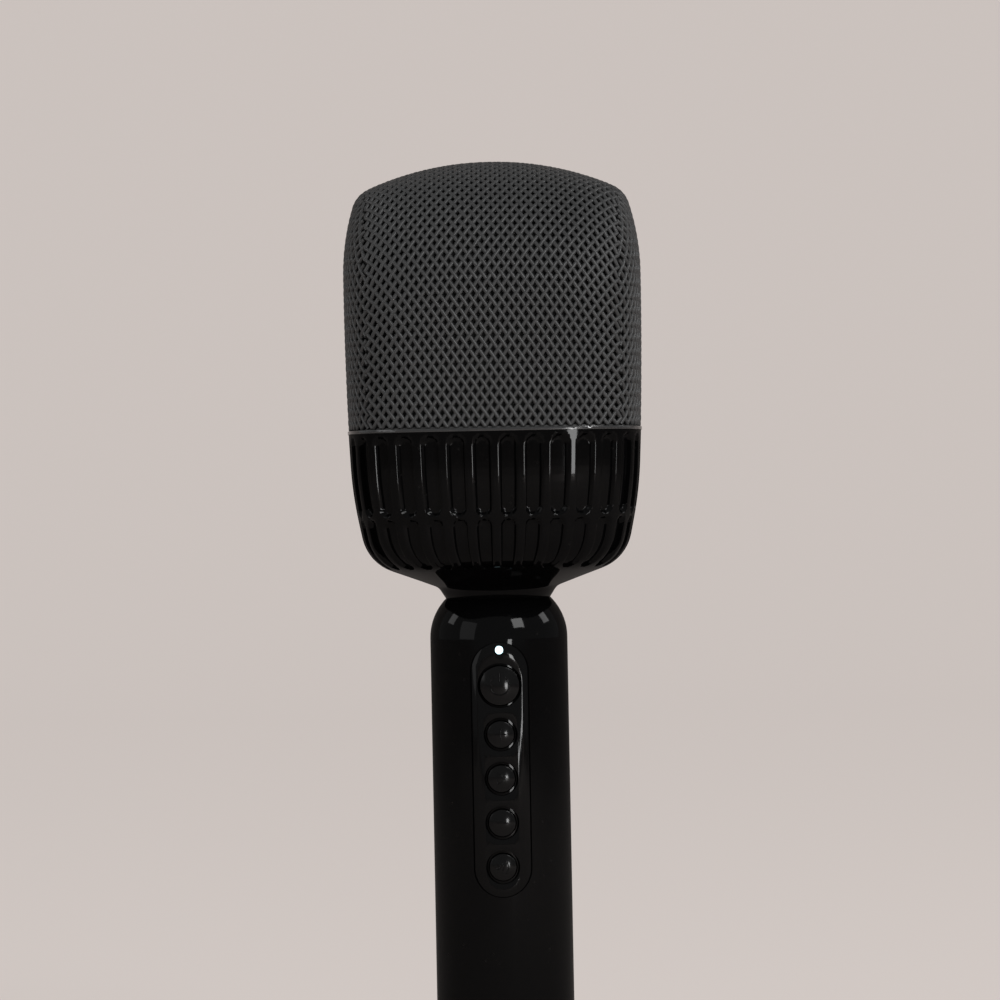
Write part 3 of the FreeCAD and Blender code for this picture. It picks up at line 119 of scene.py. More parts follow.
def wear_group() -> bpy.types.NodeTree:
    """Mask of rubbed edges, from the difference between the rounded and the true normal.

    Returns:
        The group, with one output Edge between 0 and 1.
    """
    group = new_group("edge wear", {"Radius": 0.0004, "Breakup Scale": 700.0}, {"Edge": "NodeSocketFloat"})
    nodes, links = group.nodes, group.links
    source, result = nodes.new("NodeGroupInput"), nodes.new("NodeGroupOutput")
    geometry = nodes.new("ShaderNodeNewGeometry")
    soft = nodes.new("ShaderNodeBevel")
    soft.samples = 4
    links.new(source.outputs["Radius"], soft.inputs["Radius"])
    match = nodes.new("ShaderNodeVectorMath")
    match.operation = "DOT_PRODUCT"
    links.new(soft.outputs["Normal"], match.inputs[0])
    links.new(geometry.outputs["Normal"], match.inputs[1])
    edge = nodes.new("ShaderNodeMapRange")
    edge.inputs["From Min"].default_value = 0.97
    edge.inputs["From Max"].default_value = 0.80
    links.new(match.outputs["Value"], edge.inputs["Value"])
    place = nodes.new("ShaderNodeTexCoord")
    noise = nodes.new("ShaderNodeTexNoise")
    links.new(place.outputs["Object"], noise.inputs["Vector"])
    links.new(source.outputs["Breakup Scale"], noise.inputs["Scale"])
    both = nodes.new("ShaderNodeMath")
    both.operation = "MULTIPLY"
    links.new(edge.outputs["Result"], both.inputs[0])
    links.new(noise.outputs["Fac"], both.inputs[1])
    links.new(both.outputs["Value"], result.inputs["Edge"])
    return group


SURFACE = surface_group()
WEAR = wear_group()


# ---------------------------------------------------------------- finishes
class Texture(Enum):
    """What a finish's relief looks like."""

    SMOOTH = "smooth"
    GRAIN = "grain"
    CELLS = "cells"
    FINE_WEAVE = "fine weave"


@dataclass(frozen=True)
class Finish:
    """One procedural finish; colours are linear, relief is in metres."""

    name: str
    colour: tuple[float, float, float]
    roughness: float
    metallic: float = 0.0
    specular: float = 0.5
    coat: float = 0.0
    coat_roughness: float = 0.06
    texture: Texture = Texture.SMOOTH
    relief: float = 0.00001
    grain_scale: float = 900.0
    mottling: float = 0.25
    dust: float = 0.0
    wear: float = 0.0
    glow: float = 0.0

    def build(self) -> bpy.types.Material:
        """Make the material.

        Returns:
            The finished material.
        """
        material = bpy.data.materials.new(self.name)
        material.use_nodes = True
        nodes, links = material.node_tree.nodes, material.node_tree.links
        shader = nodes["Principled BSDF"]
        shader.inputs["Metallic"].default_value = self.metallic
        shader.inputs["Specular IOR Level"].default_value = self.specular
        shader.inputs["Coat Weight"].default_value = self.coat
        shader.inputs["Coat Roughness"].default_value = self.coat_roughness
        surface = nodes.new("ShaderNodeGroup")
        surface.node_tree = SURFACE
        surface.inputs["Grain Scale"].default_value = self.grain_scale
        links.new(self.tint(nodes, links, surface), shader.inputs["Base Color"])
        rough = nodes.new("ShaderNodeMapRange")
        rough.inputs["To Min"].default_value = self.roughness * 0.75
        rough.inputs["To Max"].default_value = min(1.0, self.roughness * 1.3)
        links.new(surface.outputs["Mottle"], rough.inputs["Value"])
        links.new(rough.outputs["Result"], shader.inputs["Roughness"])
        bump = nodes.new("ShaderNodeBump")
        bump.inputs["Distance"].default_value = self.relief
        links.new(self.height(nodes, links, surface), bump.inputs["Height"])
        links.new(bump.outputs["Normal"], shader.inputs["Normal"])
        if self.glow:
            shader.inputs["Emission Color"].default_value = (*self.colour, 1.0)
            shader.inputs["Emission Strength"].default_value = self.glow
        return material

    def tint(self, nodes: bpy.types.Nodes, links: bpy.types.NodeLinks,
             surface: bpy.types.Node) -> bpy.types.NodeSocket:
        """Colour with mottling, dust and rubbed edges.

        Args:
            nodes: The material's nodes.
            links: The material's links.
            surface: The shared surface group.

        Returns:
            The socket that carries the colour.
        """
        base = nodes.new("ShaderNodeMix")
        base.data_type = "RGBA"
        low, high = 1.0 - self.mottling, 1.0 + self.mottling
        base.inputs["A"].default_value = (*(c * low for c in self.colour), 1.0)
        base.inputs["B"].default_value = (*(c * high for c in self.colour), 1.0)
        links.new(surface.outputs["Mottle"], base.inputs["Factor"])
        colour = base.outputs["Result"]
        layers = [(self.dust, surface.outputs["Dust"], DUST_COLOUR)]
        if self.wear:
            worn = nodes.new("ShaderNodeGroup")
            worn.node_tree = WEAR
            rubbed = tuple(min(1.0, c * 2.2 + 0.02) for c in self.colour)
            layers.append((self.wear, worn.outputs["Edge"], rubbed))
        for amount, mask, shade in layers:
            if amount:
                share = nodes.new("ShaderNodeMath")
                share.operation = "MULTIPLY"
                share.inputs[1].default_value = amount
                links.new(mask, share.inputs[0])
                layer = nodes.new("ShaderNodeMix")
                layer.data_type = "RGBA"
                layer.inputs["B"].default_value = (*shade, 1.0)
                links.new(share.outputs["Value"], layer.inputs["Factor"])
                links.new(colour, layer.inputs["A"])
                colour = layer.outputs["Result"]
        return colour

    def height(self, nodes: bpy.types.Nodes, links: bpy.types.NodeLinks,
               surface: bpy.types.Node) -> bpy.types.NodeSocket:
        """Relief of the surface.

        Args:
            nodes: The material's nodes.
            links: The material's links.
            surface: The shared surface group.

        Returns:
            The socket that carries the height.
        """
        if self.texture in (Texture.SMOOTH, Texture.GRAIN):
            return surface.outputs["Mottle" if self.texture is Texture.SMOOTH else "Grain"]
        place = nodes.new("ShaderNodeTexCoord")
        if self.texture is Texture.CELLS:
            cells = nodes.new("ShaderNodeTexVoronoi")
            cells.inputs["Scale"].default_value = self.grain_scale
            links.new(place.outputs["Object"], cells.inputs["Vector"])
            return cells.outputs["Distance"]
        threads = []
        for axis in ("X", "Z"):
            wave = nodes.new("ShaderNodeTexWave")
            wave.bands_direction = axis
            wave.inputs["Scale"].default_value = self.grain_scale
            wave.inputs["Distortion"].default_value = 0.3
            links.new(place.outputs["Object"], wave.inputs["Vector"])
            threads.append(wave.outputs["Fac"])
        both = nodes.new("ShaderNodeMath")
        both.operation = "MAXIMUM"
        links.new(threads[0], both.inputs[0])
        links.new(threads[1], both.inputs[1])
        return both.outputs["Value"]


FINISHES = {
    "mesh": Finish("black coated wire", (0.028, 0.0285, 0.029), 0.45, 0.2, 0.35, relief=0.00002,
                   texture=Texture.GRAIN, mottling=0.15, dust=0.05),
    "inner_mesh": Finish("fine black mesh", (0.006, 0.006, 0.006), 0.75, texture=Texture.FINE_WEAVE,
                         relief=0.0003, grain_scale=260.0, specular=0.2),
    "foam": Finish("black open foam", (0.012, 0.012, 0.012), 0.95, texture=Texture.CELLS, relief=0.0006,
                   grain_scale=1100.0, specular=0.1),
    "rim": Finish("black seat ring", (0.010, 0.010, 0.010), 0.5, texture=Texture.GRAIN, wear=0.3),
    "gloss_black": Finish("piano black plastic", (0.0012, 0.0012, 0.0013), 0.12, specular=0.0, coat=0.14,
                          relief=0.000004, mottling=0.1, dust=0.01),
    "trim": Finish("polished black lip", (0.012, 0.012, 0.0125), 0.18, specular=0.5, coat=0.2, wear=0.15),
    "panel": Finish("smoked panel inlay", (0.0014, 0.0014, 0.0015), 0.16, specular=0.0, coat=0.2),
    "button": Finish("satin black cap", (0.0016, 0.0016, 0.0017), 0.20, specular=0.0, coat=0.28,
                     coat_roughness=0.12, wear=0.1),
    "inner_plastic": Finish("moulded black nylon", (0.020, 0.020, 0.021), 0.55, texture=Texture.GRAIN,
                            wear=0.4),
    "screw_steel": Finish("zinc plated steel", (0.55, 0.55, 0.57), 0.32, 1.0, texture=Texture.GRAIN,
                          wear=0.3),
    "rubber": Finish("soft black rubber", (0.014, 0.014, 0.014), 0.85, specular=0.25, texture=Texture.GRAIN,
                     relief=0.00005),
    "basket_steel": Finish("pressed steel basket", (0.42, 0.42, 0.44), 0.38, 1.0, texture=Texture.GRAIN,
                           wear=0.4),
    "ferrite": Finish("ferrite magnet", (0.035, 0.034, 0.034), 0.7, texture=Texture.CELLS, relief=0.00005),
    "yoke_steel": Finish("plated yoke", (0.50, 0.48, 0.40), 0.34, 1.0, wear=0.3),
    "coil": Finish("enamelled copper", (0.55, 0.20, 0.06), 0.3, 1.0, texture=Texture.FINE_WEAVE,
                   relief=0.0001, grain_scale=1500.0),
    "cone_paper": Finish("pressed paper cone", (0.045, 0.043, 0.041), 0.9, texture=Texture.GRAIN,
                         relief=0.00008),
    "capsule_metal": Finish("brushed capsule can", (0.60, 0.60, 0.62), 0.28, 1.0, texture=Texture.GRAIN),
    "neck_metal": Finish("black zinc tube", (0.12, 0.12, 0.125), 0.3, 1.0, wear=0.4),
    "board": Finish("green solder mask", (0.010, 0.075, 0.030), 0.35, coat=0.3, texture=Texture.GRAIN),
    "component": Finish("epoxy chip", (0.016, 0.016, 0.017), 0.5, texture=Texture.GRAIN, wear=0.3),
    "switch": Finish("switch body", (0.06, 0.06, 0.065), 0.45, texture=Texture.GRAIN, wear=0.2),
    "cell": Finish("shrink sleeve", (0.05, 0.13, 0.32), 0.4, coat=0.2),
    "lead": Finish("red insulation", (0.28, 0.020, 0.018), 0.5, relief=0.00002),
    "lamp": Finish("lit indicator", (0.62, 0.93, 1.0), 0.3, glow=2.2),
}


@dataclass
class Wardrobe:
    """Builds each finish once and puts it on pieces."""

    made: dict[str, bpy.types.Material]

    def dress(self, piece: bpy.types.Object, slot: str) -> None:
        """Put one finish on every material slot of a piece.

        Args:
            piece: The object to dress.
            slot: The finish's name, one of the record's slots.
        """
        if slot not in self.made:
            self.made[slot] = FINISHES[slot].build()
        if not piece.material_slots:
            piece.data.materials.append(self.made[slot])
        for place in piece.material_slots:
            place.material = self.made[slot]


# ---------------------------------------------------------------- the head's shape
def arc_chain(arcs: list[tuple[float, float, float]], steps: int) -> list[tuple[float, float]]:
    """Join tangent arcs, given by the angle of their normal from straight up.

    Args:
        arcs: Radius, first angle and last angle of each arc.
        steps: Points on each arc.

    Returns:
        Points from (0, 0), as (outwards, upwards).
    """
    points = [(0.0, 0.0)]
    for radius, start, end in arcs:
        r0, z0 = points[-1]
        for i in range(1, steps + 1):
            a = start + (end - start) * i / steps
            points.append((r0 + radius * (math.sin(a) - math.sin(start)),
                           z0 + radius * (math.cos(a) - math.cos(start))))
    return points


def run_length(points: np.ndarray) -> np.ndarray:
    """Distance along a line of points, from its first one."""
    return np.concatenate([[0.0], np.cumsum(np.hypot(*np.diff(points, axis=0).T))])


def plan_reach(angle: float, squareness: float) -> float:
    """Distance from the middle to the edge of a rounded square of half width 1."""
    return (abs(math.cos(angle)) ** squareness + abs(math.sin(angle)) ** squareness) ** (-1 / squareness)


@dataclass
class GrilleForm:
    """Outside of the grille in millimetres: a rounded square in plan under a profile each way."""

    base: float
    top: float
    half_width: float
    half_depth: float
    seam_half: float
    dome_radius: float = 74.0
    shoulder_radius: float = 7.5
    bow_radius: float = 65.0
    bow_end: float = math.radians(73.5)
    squareness: float = 4.0
    crown_squareness: float = 2.4
    square_depth: float = 8.0
    arc_steps: int = 24
    side_steps: int = 48
    flat_drop: float = 0.4
    flat_radius: float = 5.0
    probe: float = 0.05

    def __post_init__(self) -> None:
        """Work out both profiles."""
        half = self.half_width
        turned = math.sin(self.bow_end)
        reach = half - self.bow_radius * (1 - turned) - self.shoulder_radius * turned
        dome_end = math.asin(reach / (self.dome_radius - self.shoulder_radius))
        curve = arc_chain([(self.bow_radius, math.pi / 2, self.bow_end),
                           (self.shoulder_radius, self.bow_end, dome_end),
                           (self.dome_radius, dome_end, 0.0)], self.arc_steps)
        lift = self.top - curve[-1][1]
        wall_top = curve[0][1] + lift
        wall = [(self.seam_half + (half - self.seam_half) * s * (2 - s),
                 self.base + (wall_top - self.base) * s) for s in (0.0, 0.2, 0.4, 0.6, 0.8)]
        self.front = np.array(wall + [(half + r, z + lift) for r, z in curve])
        centre = self.top - self.half_depth
        angles = [math.pi / 2 * i / self.side_steps for i in range(self.side_steps + 1)]
        side = [(self.seam_half, self.base)]
        side += [(self.half_depth * math.cos(a), centre + self.half_depth * math.sin(a)) for a in angles]
        self.side = np.array(side)

    def plan(self, z: float) -> tuple[float, float, float]:
        """Outline of the plan at one height.

        Args:
            z: The height.

        Returns:
            Half width, half depth and squareness.
        """
        a = float(np.interp(z, self.front[:, 1], self.front[:, 0]))
        b = float(np.interp(z, self.side[:, 1], self.side[:, 0]))
        span = min(a / (self.half_width - self.square_depth), 1.0)
        n = self.crown_squareness + (self.squareness - self.crown_squareness) * span * span
        return max(a, 1e-3), max(b, 1e-3), n

    def across(self, z: float, x: float) -> float:
        """Half depth of the surface at a height and a sideways place.

        Args:
            z: The height.
            x: The sideways place.

        Returns:
            The half depth, 0 outside the plan.
        """
        a, b, n = self.plan(z)
        return b * max(0.0, 1 - (abs(x) / a) ** n) ** (1 / n)

    def along(self, z: float, y: float) -> float:
        """Half width of the surface at a height and a place from front to back.

        Args:
            z: The height.
            y: The place from front to back.

        Returns:
            The half width, 0 outside the plan.
        """
        a, b, n = self.plan(z)
        return a * max(0.0, 1 - (abs(y) / b) ** n) ** (1 / n)

    def field(self, x: float, y: float, z: float) -> float:
        """Zero on the surface, negative inside."""
        a, b, n = self.plan(z)
        return (abs(x) / a) ** n + (abs(y) / b) ** n - 1

    def normal(self, point: Vector) -> Vector:
        """Outward normal of the surface.

        Args:
            point: A point on or near the surface.

        Returns:
            The normal, straight up on the nearly flat middle of the crown.
        """
        x, y, z = point
        if z > self.top - self.flat_drop and math.hypot(x, y) < self.flat_radius:
            return Vector((0, 0, 1))
        step = self.probe
        low = min(z, self.top - 2 * step)
        slope = Vector((self.field(x + step, y, low) - self.field(x - step, y, low),
                        self.field(x, y + step, low) - self.field(x, y - step, low),
                        self.field(x, y, low + step) - self.field(x, y, low - step)))
        return slope.normalized() if slope.length > 1e-9 else Vector((0, 0, 1))


@dataclass
class Weave:
    """Diagonal wires that pass over and under each other on one sheet of the grille."""

    form: GrilleForm
    column: float = 2.43
    row: float = 3.56
    wire_radius: float = 0.58
    swing: float = 0.09
    steps: int = 4
    clearance: float = 0.01
    shortest: float = 0.2
    end_margin: float = 0.05

    def depth(self) -> float:
        """Depth of the weave's middle below the form."""
        return self.wire_radius + self.swing + self.clearance

    def lay(self, place: Callable[[float, float], Vector | None], across: float, low: float,
            high: float) -> list[list[Vector]]:
        """Run both families of wires over one sheet.

        Args:
            place: Turns (column place, row place) into a point, or None off the sheet.
            across: Half width of the sheet in column direction.
            low: First row place.
            high: Last row place.

        Returns:
            One list of points per wire.
        """
        wires = []
        first = math.floor(-across / self.column + low / self.row)
        last = math.ceil(across / self.column + high / self.row)
        for family in (1, -1):
            for i in range(first, last + 1):
                begin = max(-2 * across / self.column - i, i - 2 * high / self.row)
                end = min(2 * across / self.column - i, i - 2 * low / self.row)
                if end - begin < self.shortest:
                    continue
                inner = [k / self.steps for k in range(math.ceil(begin * self.steps + self.end_margin),
                                                       math.floor(end * self.steps - self.end_margin) + 1)]
                run: list[Vector] = []
                for t in [begin, *inner, end]:
                    point = place(family * (i + t) * self.column / 2, (i - t) * self.row / 2)
                    if point is None:
                        wires.append(run)
                        run = []
                        continue
                    lift = self.swing * family * math.cos(math.pi * t) * (-1) ** i
                    run.append(point - self.form.normal(point) * (self.depth() - lift))
                wires.append(run)
        return [wire for wire in wires if len(wire) > 2]


def link(name: str, mesh: bpy.types.Mesh) -> bpy.types.Object:
    """Put a mesh into the scene, shaded smooth, as an object at the origin.

    Args:
        name: The object's name.
        mesh: Its mesh.

    Returns:
        The object.
    """
    mesh.polygons.foreach_set("use_smooth", [True] * len(mesh.polygons))
    piece = bpy.data.objects.new(name, mesh)
    bpy.context.scene.collection.objects.link(piece)
    return piece


def tube_piece(name: str, runs: list[list[Vector]], radius: float, rounding: int) -> bpy.types.Object:
    """Turn runs of points into one mesh of capped tubes.

    Args:
        name: The piece's name.
        runs: Points of each tube in millimetres.
        radius: The tubes' radius in millimetres.
        rounding: How finely each tube is rounded.

    Returns:
        The piece, linked to the scene.
    """
    curve = bpy.data.curves.new(name, "CURVE")
    curve.dimensions = "3D"
    curve.bevel_depth = radius * MM
    curve.bevel_resolution = rounding
    curve.use_fill_caps = True
    for run in runs:
        spline = curve.splines.new("POLY")
        spline.points.add(len(run) - 1)
        for point, target in zip(run, spline.points):
            target.co = (*(point * MM), 1.0)
    draft = bpy.data.objects.new(name + ".draft", curve)
    mesh = bpy.data.meshes.new_from_object(draft)
    bpy.data.objects.remove(draft)
    mesh.name = name
    return link(name, mesh)


def finish_mesh(name: str, work: bmesh.types.BMesh, smooth_angle: float = 35.0) -> bpy.types.Object:
    """Turn a bmesh in millimetres into a piece with outward faces.

    Args:
        name: The piece's name.
        work: The mesh, which is freed.
        smooth_angle: Edges sharper than this many degrees stay crisp.

    Returns:
        The piece, linked to the scene.
    """
    bmesh.ops.remove_doubles(work, verts=work.verts, dist=0.0005)
    bmesh.ops.recalc_face_normals(work, faces=work.faces)
    bmesh.ops.scale(work, verts=work.verts, vec=(MM, MM, MM))
    mesh = bpy.data.meshes.new(name)
    work.to_mesh(mesh)
    work.free()
    mesh.set_sharp_from_angle(angle=math.radians(smooth_angle))
    return link(name, mesh)


@dataclass
class Grille:
    """Lift-off grille: woven outer mesh and the foam cup under the fine inner mesh."""

    form: GrilleForm
    wardrobe: Wardrobe
    side_column: int = 27
    side_reach: int = 14
    side_overlap: float = 0.2
    section_rows: int = 160
    foam_gap: float = 0.08
    foam_wall: float = 4.0
    foam_around: int = 96
    foam_rows: int = 24
    foam_least: float = 0.6

    def section_tables(self, weave: Weave) -> dict[int, np.ndarray]:
        """Front sections of the surface, one for each sideways sample.

        Args:
            weave: The weave whose samples the sections follow.

        Returns:
            For each sample, rows of (share of its length, half depth, height).
        """
        tables = {}
        step = weave.column / 2 / weave.steps
        for k in range(self.side_column * weave.steps + 1):
            x = k * step
            z_top = self.form.top
            if k:
                halves, heights = self.form.front[::-1].T
                z_top = float(np.interp(x, halves, heights))
            rows = []
            for i in range(self.section_rows + 1):
                z = self.form.base + (z_top - self.form.base) * math.sin(math.pi / 2 * i / self.section_rows)
                rows.append((self.form.across(z, x) if i < self.section_rows else 0.0, z))
            points = np.array(rows)
            length = run_length(points)
            tables[k] = np.column_stack([length / length[-1], points])
        return tables

    def middle_length(self) -> float:
        """Length of the front section at the middle, from the base to the crown."""
        straight = math.hypot(self.form.half_depth - self.form.seam_half,
                              self.form.top - self.form.half_depth - self.form.base)
        return straight + math.pi / 2 * self.form.half_depth

    def build_front_and_rear(self, weave: Weave) -> list[bpy.types.Object]:
        """One sheet that runs from the front base over the crown to the rear base.

        Args:
            weave: The weave to lay.

        Returns:
            The front and the rear piece.
        """
        tables = self.section_tables(weave)
        step = weave.column / 2 / weave.steps
        rows = round(self.middle_length() / weave.row)
        weave = Weave(self.form, weave.column, self.middle_length() / rows)
        high = self.middle_length()
        pieces = []
        for name, side in (("grille_wires_front", -1), ("grille_wires_rear", 1)):
            def place(u: float, v: float, side: int = side) -> Vector:
                """Point of the sheet at a column and a row."""
                share, half, z = tables[min(round(abs(u) / step), self.side_column * weave.steps)].T
                at = min(max(v / high, 0.0), 1.0)
                return Vector((u, side * float(np.interp(at, share, half)), float(np.interp(at, share, z))))

            wires = weave.lay(place, self.side_column * weave.column / 2, 0.0, high)
            pieces.append(tube_piece(name, wires, weave.wire_radius, 1))
        return pieces

    def build_sides(self, weave: Weave) -> list[bpy.types.Object]:
        """The sheets that close the left and right walls.

        Args:
            weave: The weave to lay.

        Returns:
            The right and the left piece.
        """
        edge = self.side_column * weave.column / 2
        front = self.form.front
        points = front[front[:, 0] >= edge - 2 * self.side_overlap]
        length = run_length(points)
        pieces = []
        for name, side in (("grille_wires_right", 1), ("grille_wires_left", -1)):
            def place(u: float, v: float, side: int = side) -> Vector | None:
                """Point of the sheet at a column and a row, or None past its edge."""
                z = float(np.interp(v, length, points[:, 1]))
                x = self.form.along(z, u)
                return Vector((side * x, u, z)) if x > edge - self.side_overlap else None

            wires = weave.lay(place, self.side_reach * weave.column, 0.0, float(length[-1]))
            pieces.append(tube_piece(name, wires, weave.wire_radius, 1))
        return pieces

    def build_foam(self) -> bpy.types.Object:
        """Soft cup inside the fine mesh, in the space of its solid.

        Returns:
            The foam piece.
        """
        low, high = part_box("windscreen_foam")
        outer_top, base = high.z / MM - self.foam_gap, low.z / MM + self.foam_gap
        wall = self.foam_wall - 2 * self.foam_gap
        outside = self.shell_rows(outer_top, base, high, 0.0)
        inside = self.shell_rows(outer_top, base, high, wall)
        around = self.foam_around
        work = bmesh.new()
        rings = []
        for half, depth, n, z in outside + inside[::-1]:
            ring = []
            for i in range(around):
                a = 2 * math.pi * i / around
                r = plan_reach(a, n)
                ring.append(work.verts.new((half * r * math.cos(a), depth * r * math.sin(a), z)))
            edges = [work.edges.new((ring[i], ring[(i + 1) % around])) for i in range(around)]
            rings.append(edges)
        crown = len(outside) - 1
        for k in range(len(rings)):
            if k == crown:
                continue
            bmesh.ops.bridge_loops(work, edges=rings[k] + rings[(k + 1) % len(rings)])
        for k in (crown, crown + 1):
            bmesh.ops.contextual_create(work, geom=rings[k])
        return finish_mesh("windscreen_foam_cup", work, 60.0)

    def shell_rows(self, top: float, base: float, high: Vector,
                   inset: float) -> list[tuple[float, float, float, float]]:
        """Rows of one face of the foam cup, from its rim to its crown.

        Args:
            top: Height of the cup's outer crown.
            base: Height of its rim.
            high: Highest corner of its solid in metres.
            inset: How far this face lies inside the outer one.

        Returns:
            Half width, half depth, squareness and height of each row.
        """
        lowered = self.form.half_width - high.x / MM + self.foam_gap + inset
        rows = []
        for i in range(self.foam_rows + 1):
            a = math.pi / 2 * i / self.foam_rows
            z_form = base + lowered + (self.form.top - 0.02 - base - lowered) * math.sin(a)
            half, depth, n = self.form.plan(z_form)
            normal = self.form.normal(Vector((0.0, -depth, z_form)))
            wide = self.form.normal(Vector((half, 0.0, z_form)))
            rows.append((max(half - lowered * wide.x, self.foam_least),
                         max(depth + lowered * normal.y, self.foam_least), n,
                         z_form - lowered * max(0.0, min(normal.z, 1.0))))
        rows[0] = (*rows[0][:3], base)
        rows[-1] = (*rows[-1][:3], top - inset)
        return sorted(rows, key=lambda row: row[3])

    def build(self) -> None:
        """Make and dress the grille's visual pieces."""
        weave = Weave(self.form)
        wires = self.build_front_and_rear(weave) + self.build_sides(weave)
        for piece in wires:
            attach(piece, "grille")
            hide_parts("grille_mesh")
            self.wardrobe.dress(piece, "mesh")
            LOG.info("%s: %d faces", piece.name, len(piece.data.polygons))
        foam = self.build_foam()
        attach(foam, "grille")
        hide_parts("windscreen_foam")
        self.wardrobe.dress(foam, "foam")
        LOG.info("%s: %d faces", foam.name, len(foam.data.polygons))


# ---------------------------------------------------------------- collar
@dataclass
class Collar:
    """Gloss lower half of the head, with two rows of blind upright pockets all round."""

    wardrobe: Wardrobe
    neck: float
    lip: float
    seam: float
    seam_half: float
    neck_half: float = 13.75
    bore_half: float = 9.6
    flare: tuple[float, float, float] = (1.85, 2.9, 3.0)
    underside: tuple[float, float, float] = (4.4, 9.9, 12.0)
    waist: tuple[float, float, float] = (0.75, 28.0, 100.0)
    wall: float = 2.4
    floor: float = 2.2
    pockets: int = 40
    pocket_width: float = 3.85
    pocket_depth: float = 1.1
    rounding: float = 0.5
    rows: tuple[tuple[float, float], ...] = ((2.2, 22.2), (23.4, 38.4))
    columns_each: int = 16
    outer_rows: int = 104
    square: float = 4.0
    ledge_drop: float = 8.4
    ledge_width: float = 1.8
    inner_heights: tuple[float, float] = (18.0, 13.0)
    floor_rise: float = 4.0
    girth: float = 1.09
    slant_gain: float = 0.35
    corner_steps: int = 8

    def corner(self, before: Vector, at: Vector, after: Vector, radius: float) -> list[Vector]:
        """Arc that rounds one corner of the profile.

        Args:
            before: The corner before.
            at: The corner to round.
            after: The corner after.
            radius: The arc's radius.

        Returns:
            Points along the arc.
        """
        a, b = (before - at).normalized(), (after - at).normalized()
        half = a.angle(b) / 2
        centre = at + (a + b).normalized() * (radius / math.sin(half))
        tangent = radius / math.tan(half)
        first, last = at + a * tangent - centre, at + b * tangent - centre
        turn = first.angle(last)
        points = []
        for i in range(self.corner_steps + 1):
            share = i / self.corner_steps
            mix = first * math.sin((1 - share) * turn) + last * math.sin(share * turn)
            points.append(centre + mix / math.sin(turn))
        return points

    def profile(self) -> np.ndarray:
        """Outside of the collar from the neck to the seam.

        Returns:
            Rows of (half width, height).
        """
        corners = [Vector((self.neck_half, 0, self.neck)),
                   Vector((self.neck_half + self.flare[0], 0, self.neck + self.flare[1])),
                   Vector((self.seam_half - self.underside[0], 0, self.neck + self.underside[1])),
                   Vector((self.seam_half - self.waist[0], 0, self.neck + self.waist[1])),
                   Vector((self.seam_half, 0, self.seam))]
        radii = (self.flare[2], self.underside[2], self.waist[2])
        points = [corners[0]]
        for i, radius in enumerate(radii, start=1):
            points += self.corner(corners[i - 1], corners[i], corners[i + 1], radius)
        points.append(corners[-1])
        return np.array([(p.x, p.z) for p in points])

    def squareness(self, half: float) -> float:
        """The plan turns from a circle at the neck into a rounded square.

        Args:
            half: Half width of the collar at the row.

        Returns:
            The plan's exponent, 2 for a circle.
        """
        low = self.neck_half + self.flare[0]
        span = min(max((half - low) / (self.seam_half - self.underside[0] - low), 0.0), 1.0)
        return 2 + 2 * span * span * (3 - 2 * span)

    def stations(self) -> list[tuple[float, float, float, float]]:
        """Rows of the closed wall, up the outside and down the inside.

        Returns:
            Half width, squareness, height and distance below the seam of each row; -1 on the inside.
        """
        points = self.profile()
        length = run_length(points)
        end = float(np.interp(self.lip, points[:, 1], length))
        rows = []
        for i in range(self.outer_rows + 1):
            s = end * i / self.outer_rows
            half, z = float(np.interp(s, length, points[:, 0])), float(np.interp(s, length, points[:, 1]))
            rows.append((half, self.squareness(half), z, float(length[-1]) - s))
        inner = self.seam_half - self.wall
        ledge = self.lip - self.ledge_drop
        for half, z in ((inner, self.lip), (inner, ledge), (inner - self.ledge_width, ledge)):
            rows.append((half, self.square, z, -1.0))
        for rise in (self.waist[1], *self.inner_heights):
            outside = float(np.interp(self.neck + rise, points[:, 1], points[:, 0]))
            half = outside - self.wall - self.ledge_width
            rows.append((half, self.squareness(outside), self.neck + rise, -1.0))
        rows.append((self.neck_half, 2.0, self.neck + self.floor + self.floor_rise, -1.0))
        rows.append((self.bore_half, 2.0, self.neck + self.floor, -1.0))
        rows.append((self.bore_half, 2.0, self.neck, -1.0))
        return rows

    def sink(self, column: float, below: float) -> float:
        """Depth of the pocket at one place.

        Args:
            column: Place round the collar, in pockets.
            below: Distance below the seam along the profile.

        Returns:
            How far the surface lies below the collar's outside.
        """
        pitch = 2 * math.pi * self.seam_half * self.girth / self.pockets
        sideways = abs((column % 1.0) - 0.5) * pitch
        half = self.pocket_width / 2
        deepest = 0.0
        for top, foot in self.rows:
            middle, reach = (top + foot) / 2, (foot - top) / 2 - half
            away = math.hypot(sideways, max(abs(below - middle) - reach, 0.0)) - half
            share = min(max((self.rounding / 2 - away) / self.rounding, 0.0), 1.0)
            deepest = max(deepest, self.pocket_depth * share * share * (3 - 2 * share))
        return deepest

    def build(self) -> None:
        """Make the collar from one grid wrapped round its closed wall, and dress it."""
        rows = self.stations()
        around = self.pockets * self.columns_each
        angles = self.even_angles(around)
        work = bmesh.new()
        bmesh.ops.create_grid(work, x_segments=around, y_segments=len(rows), size=1.0)
        for vert in work.verts:
            column, row = round((vert.co.x + 1) / 2 * around), round((vert.co.y + 1) / 2 * len(rows))
            row %= len(rows)
            half, n, z, below = rows[row]
            angle = angles[column % around]
            if below >= 0:
                half -= self.sink(column / self.columns_each, below) * self.steepness(row, rows)
            r = half * plan_reach(angle, n)
            vert.co = (r * math.cos(angle), r * math.sin(angle), z)
        piece = finish_mesh("collar_pocketed_wall", work, 50.0)
        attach(piece, "microphone")
        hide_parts("collar_shell")
        self.wardrobe.dress(piece, "gloss_black")
        LOG.info("%s: %d faces", piece.name, len(piece.data.polygons))

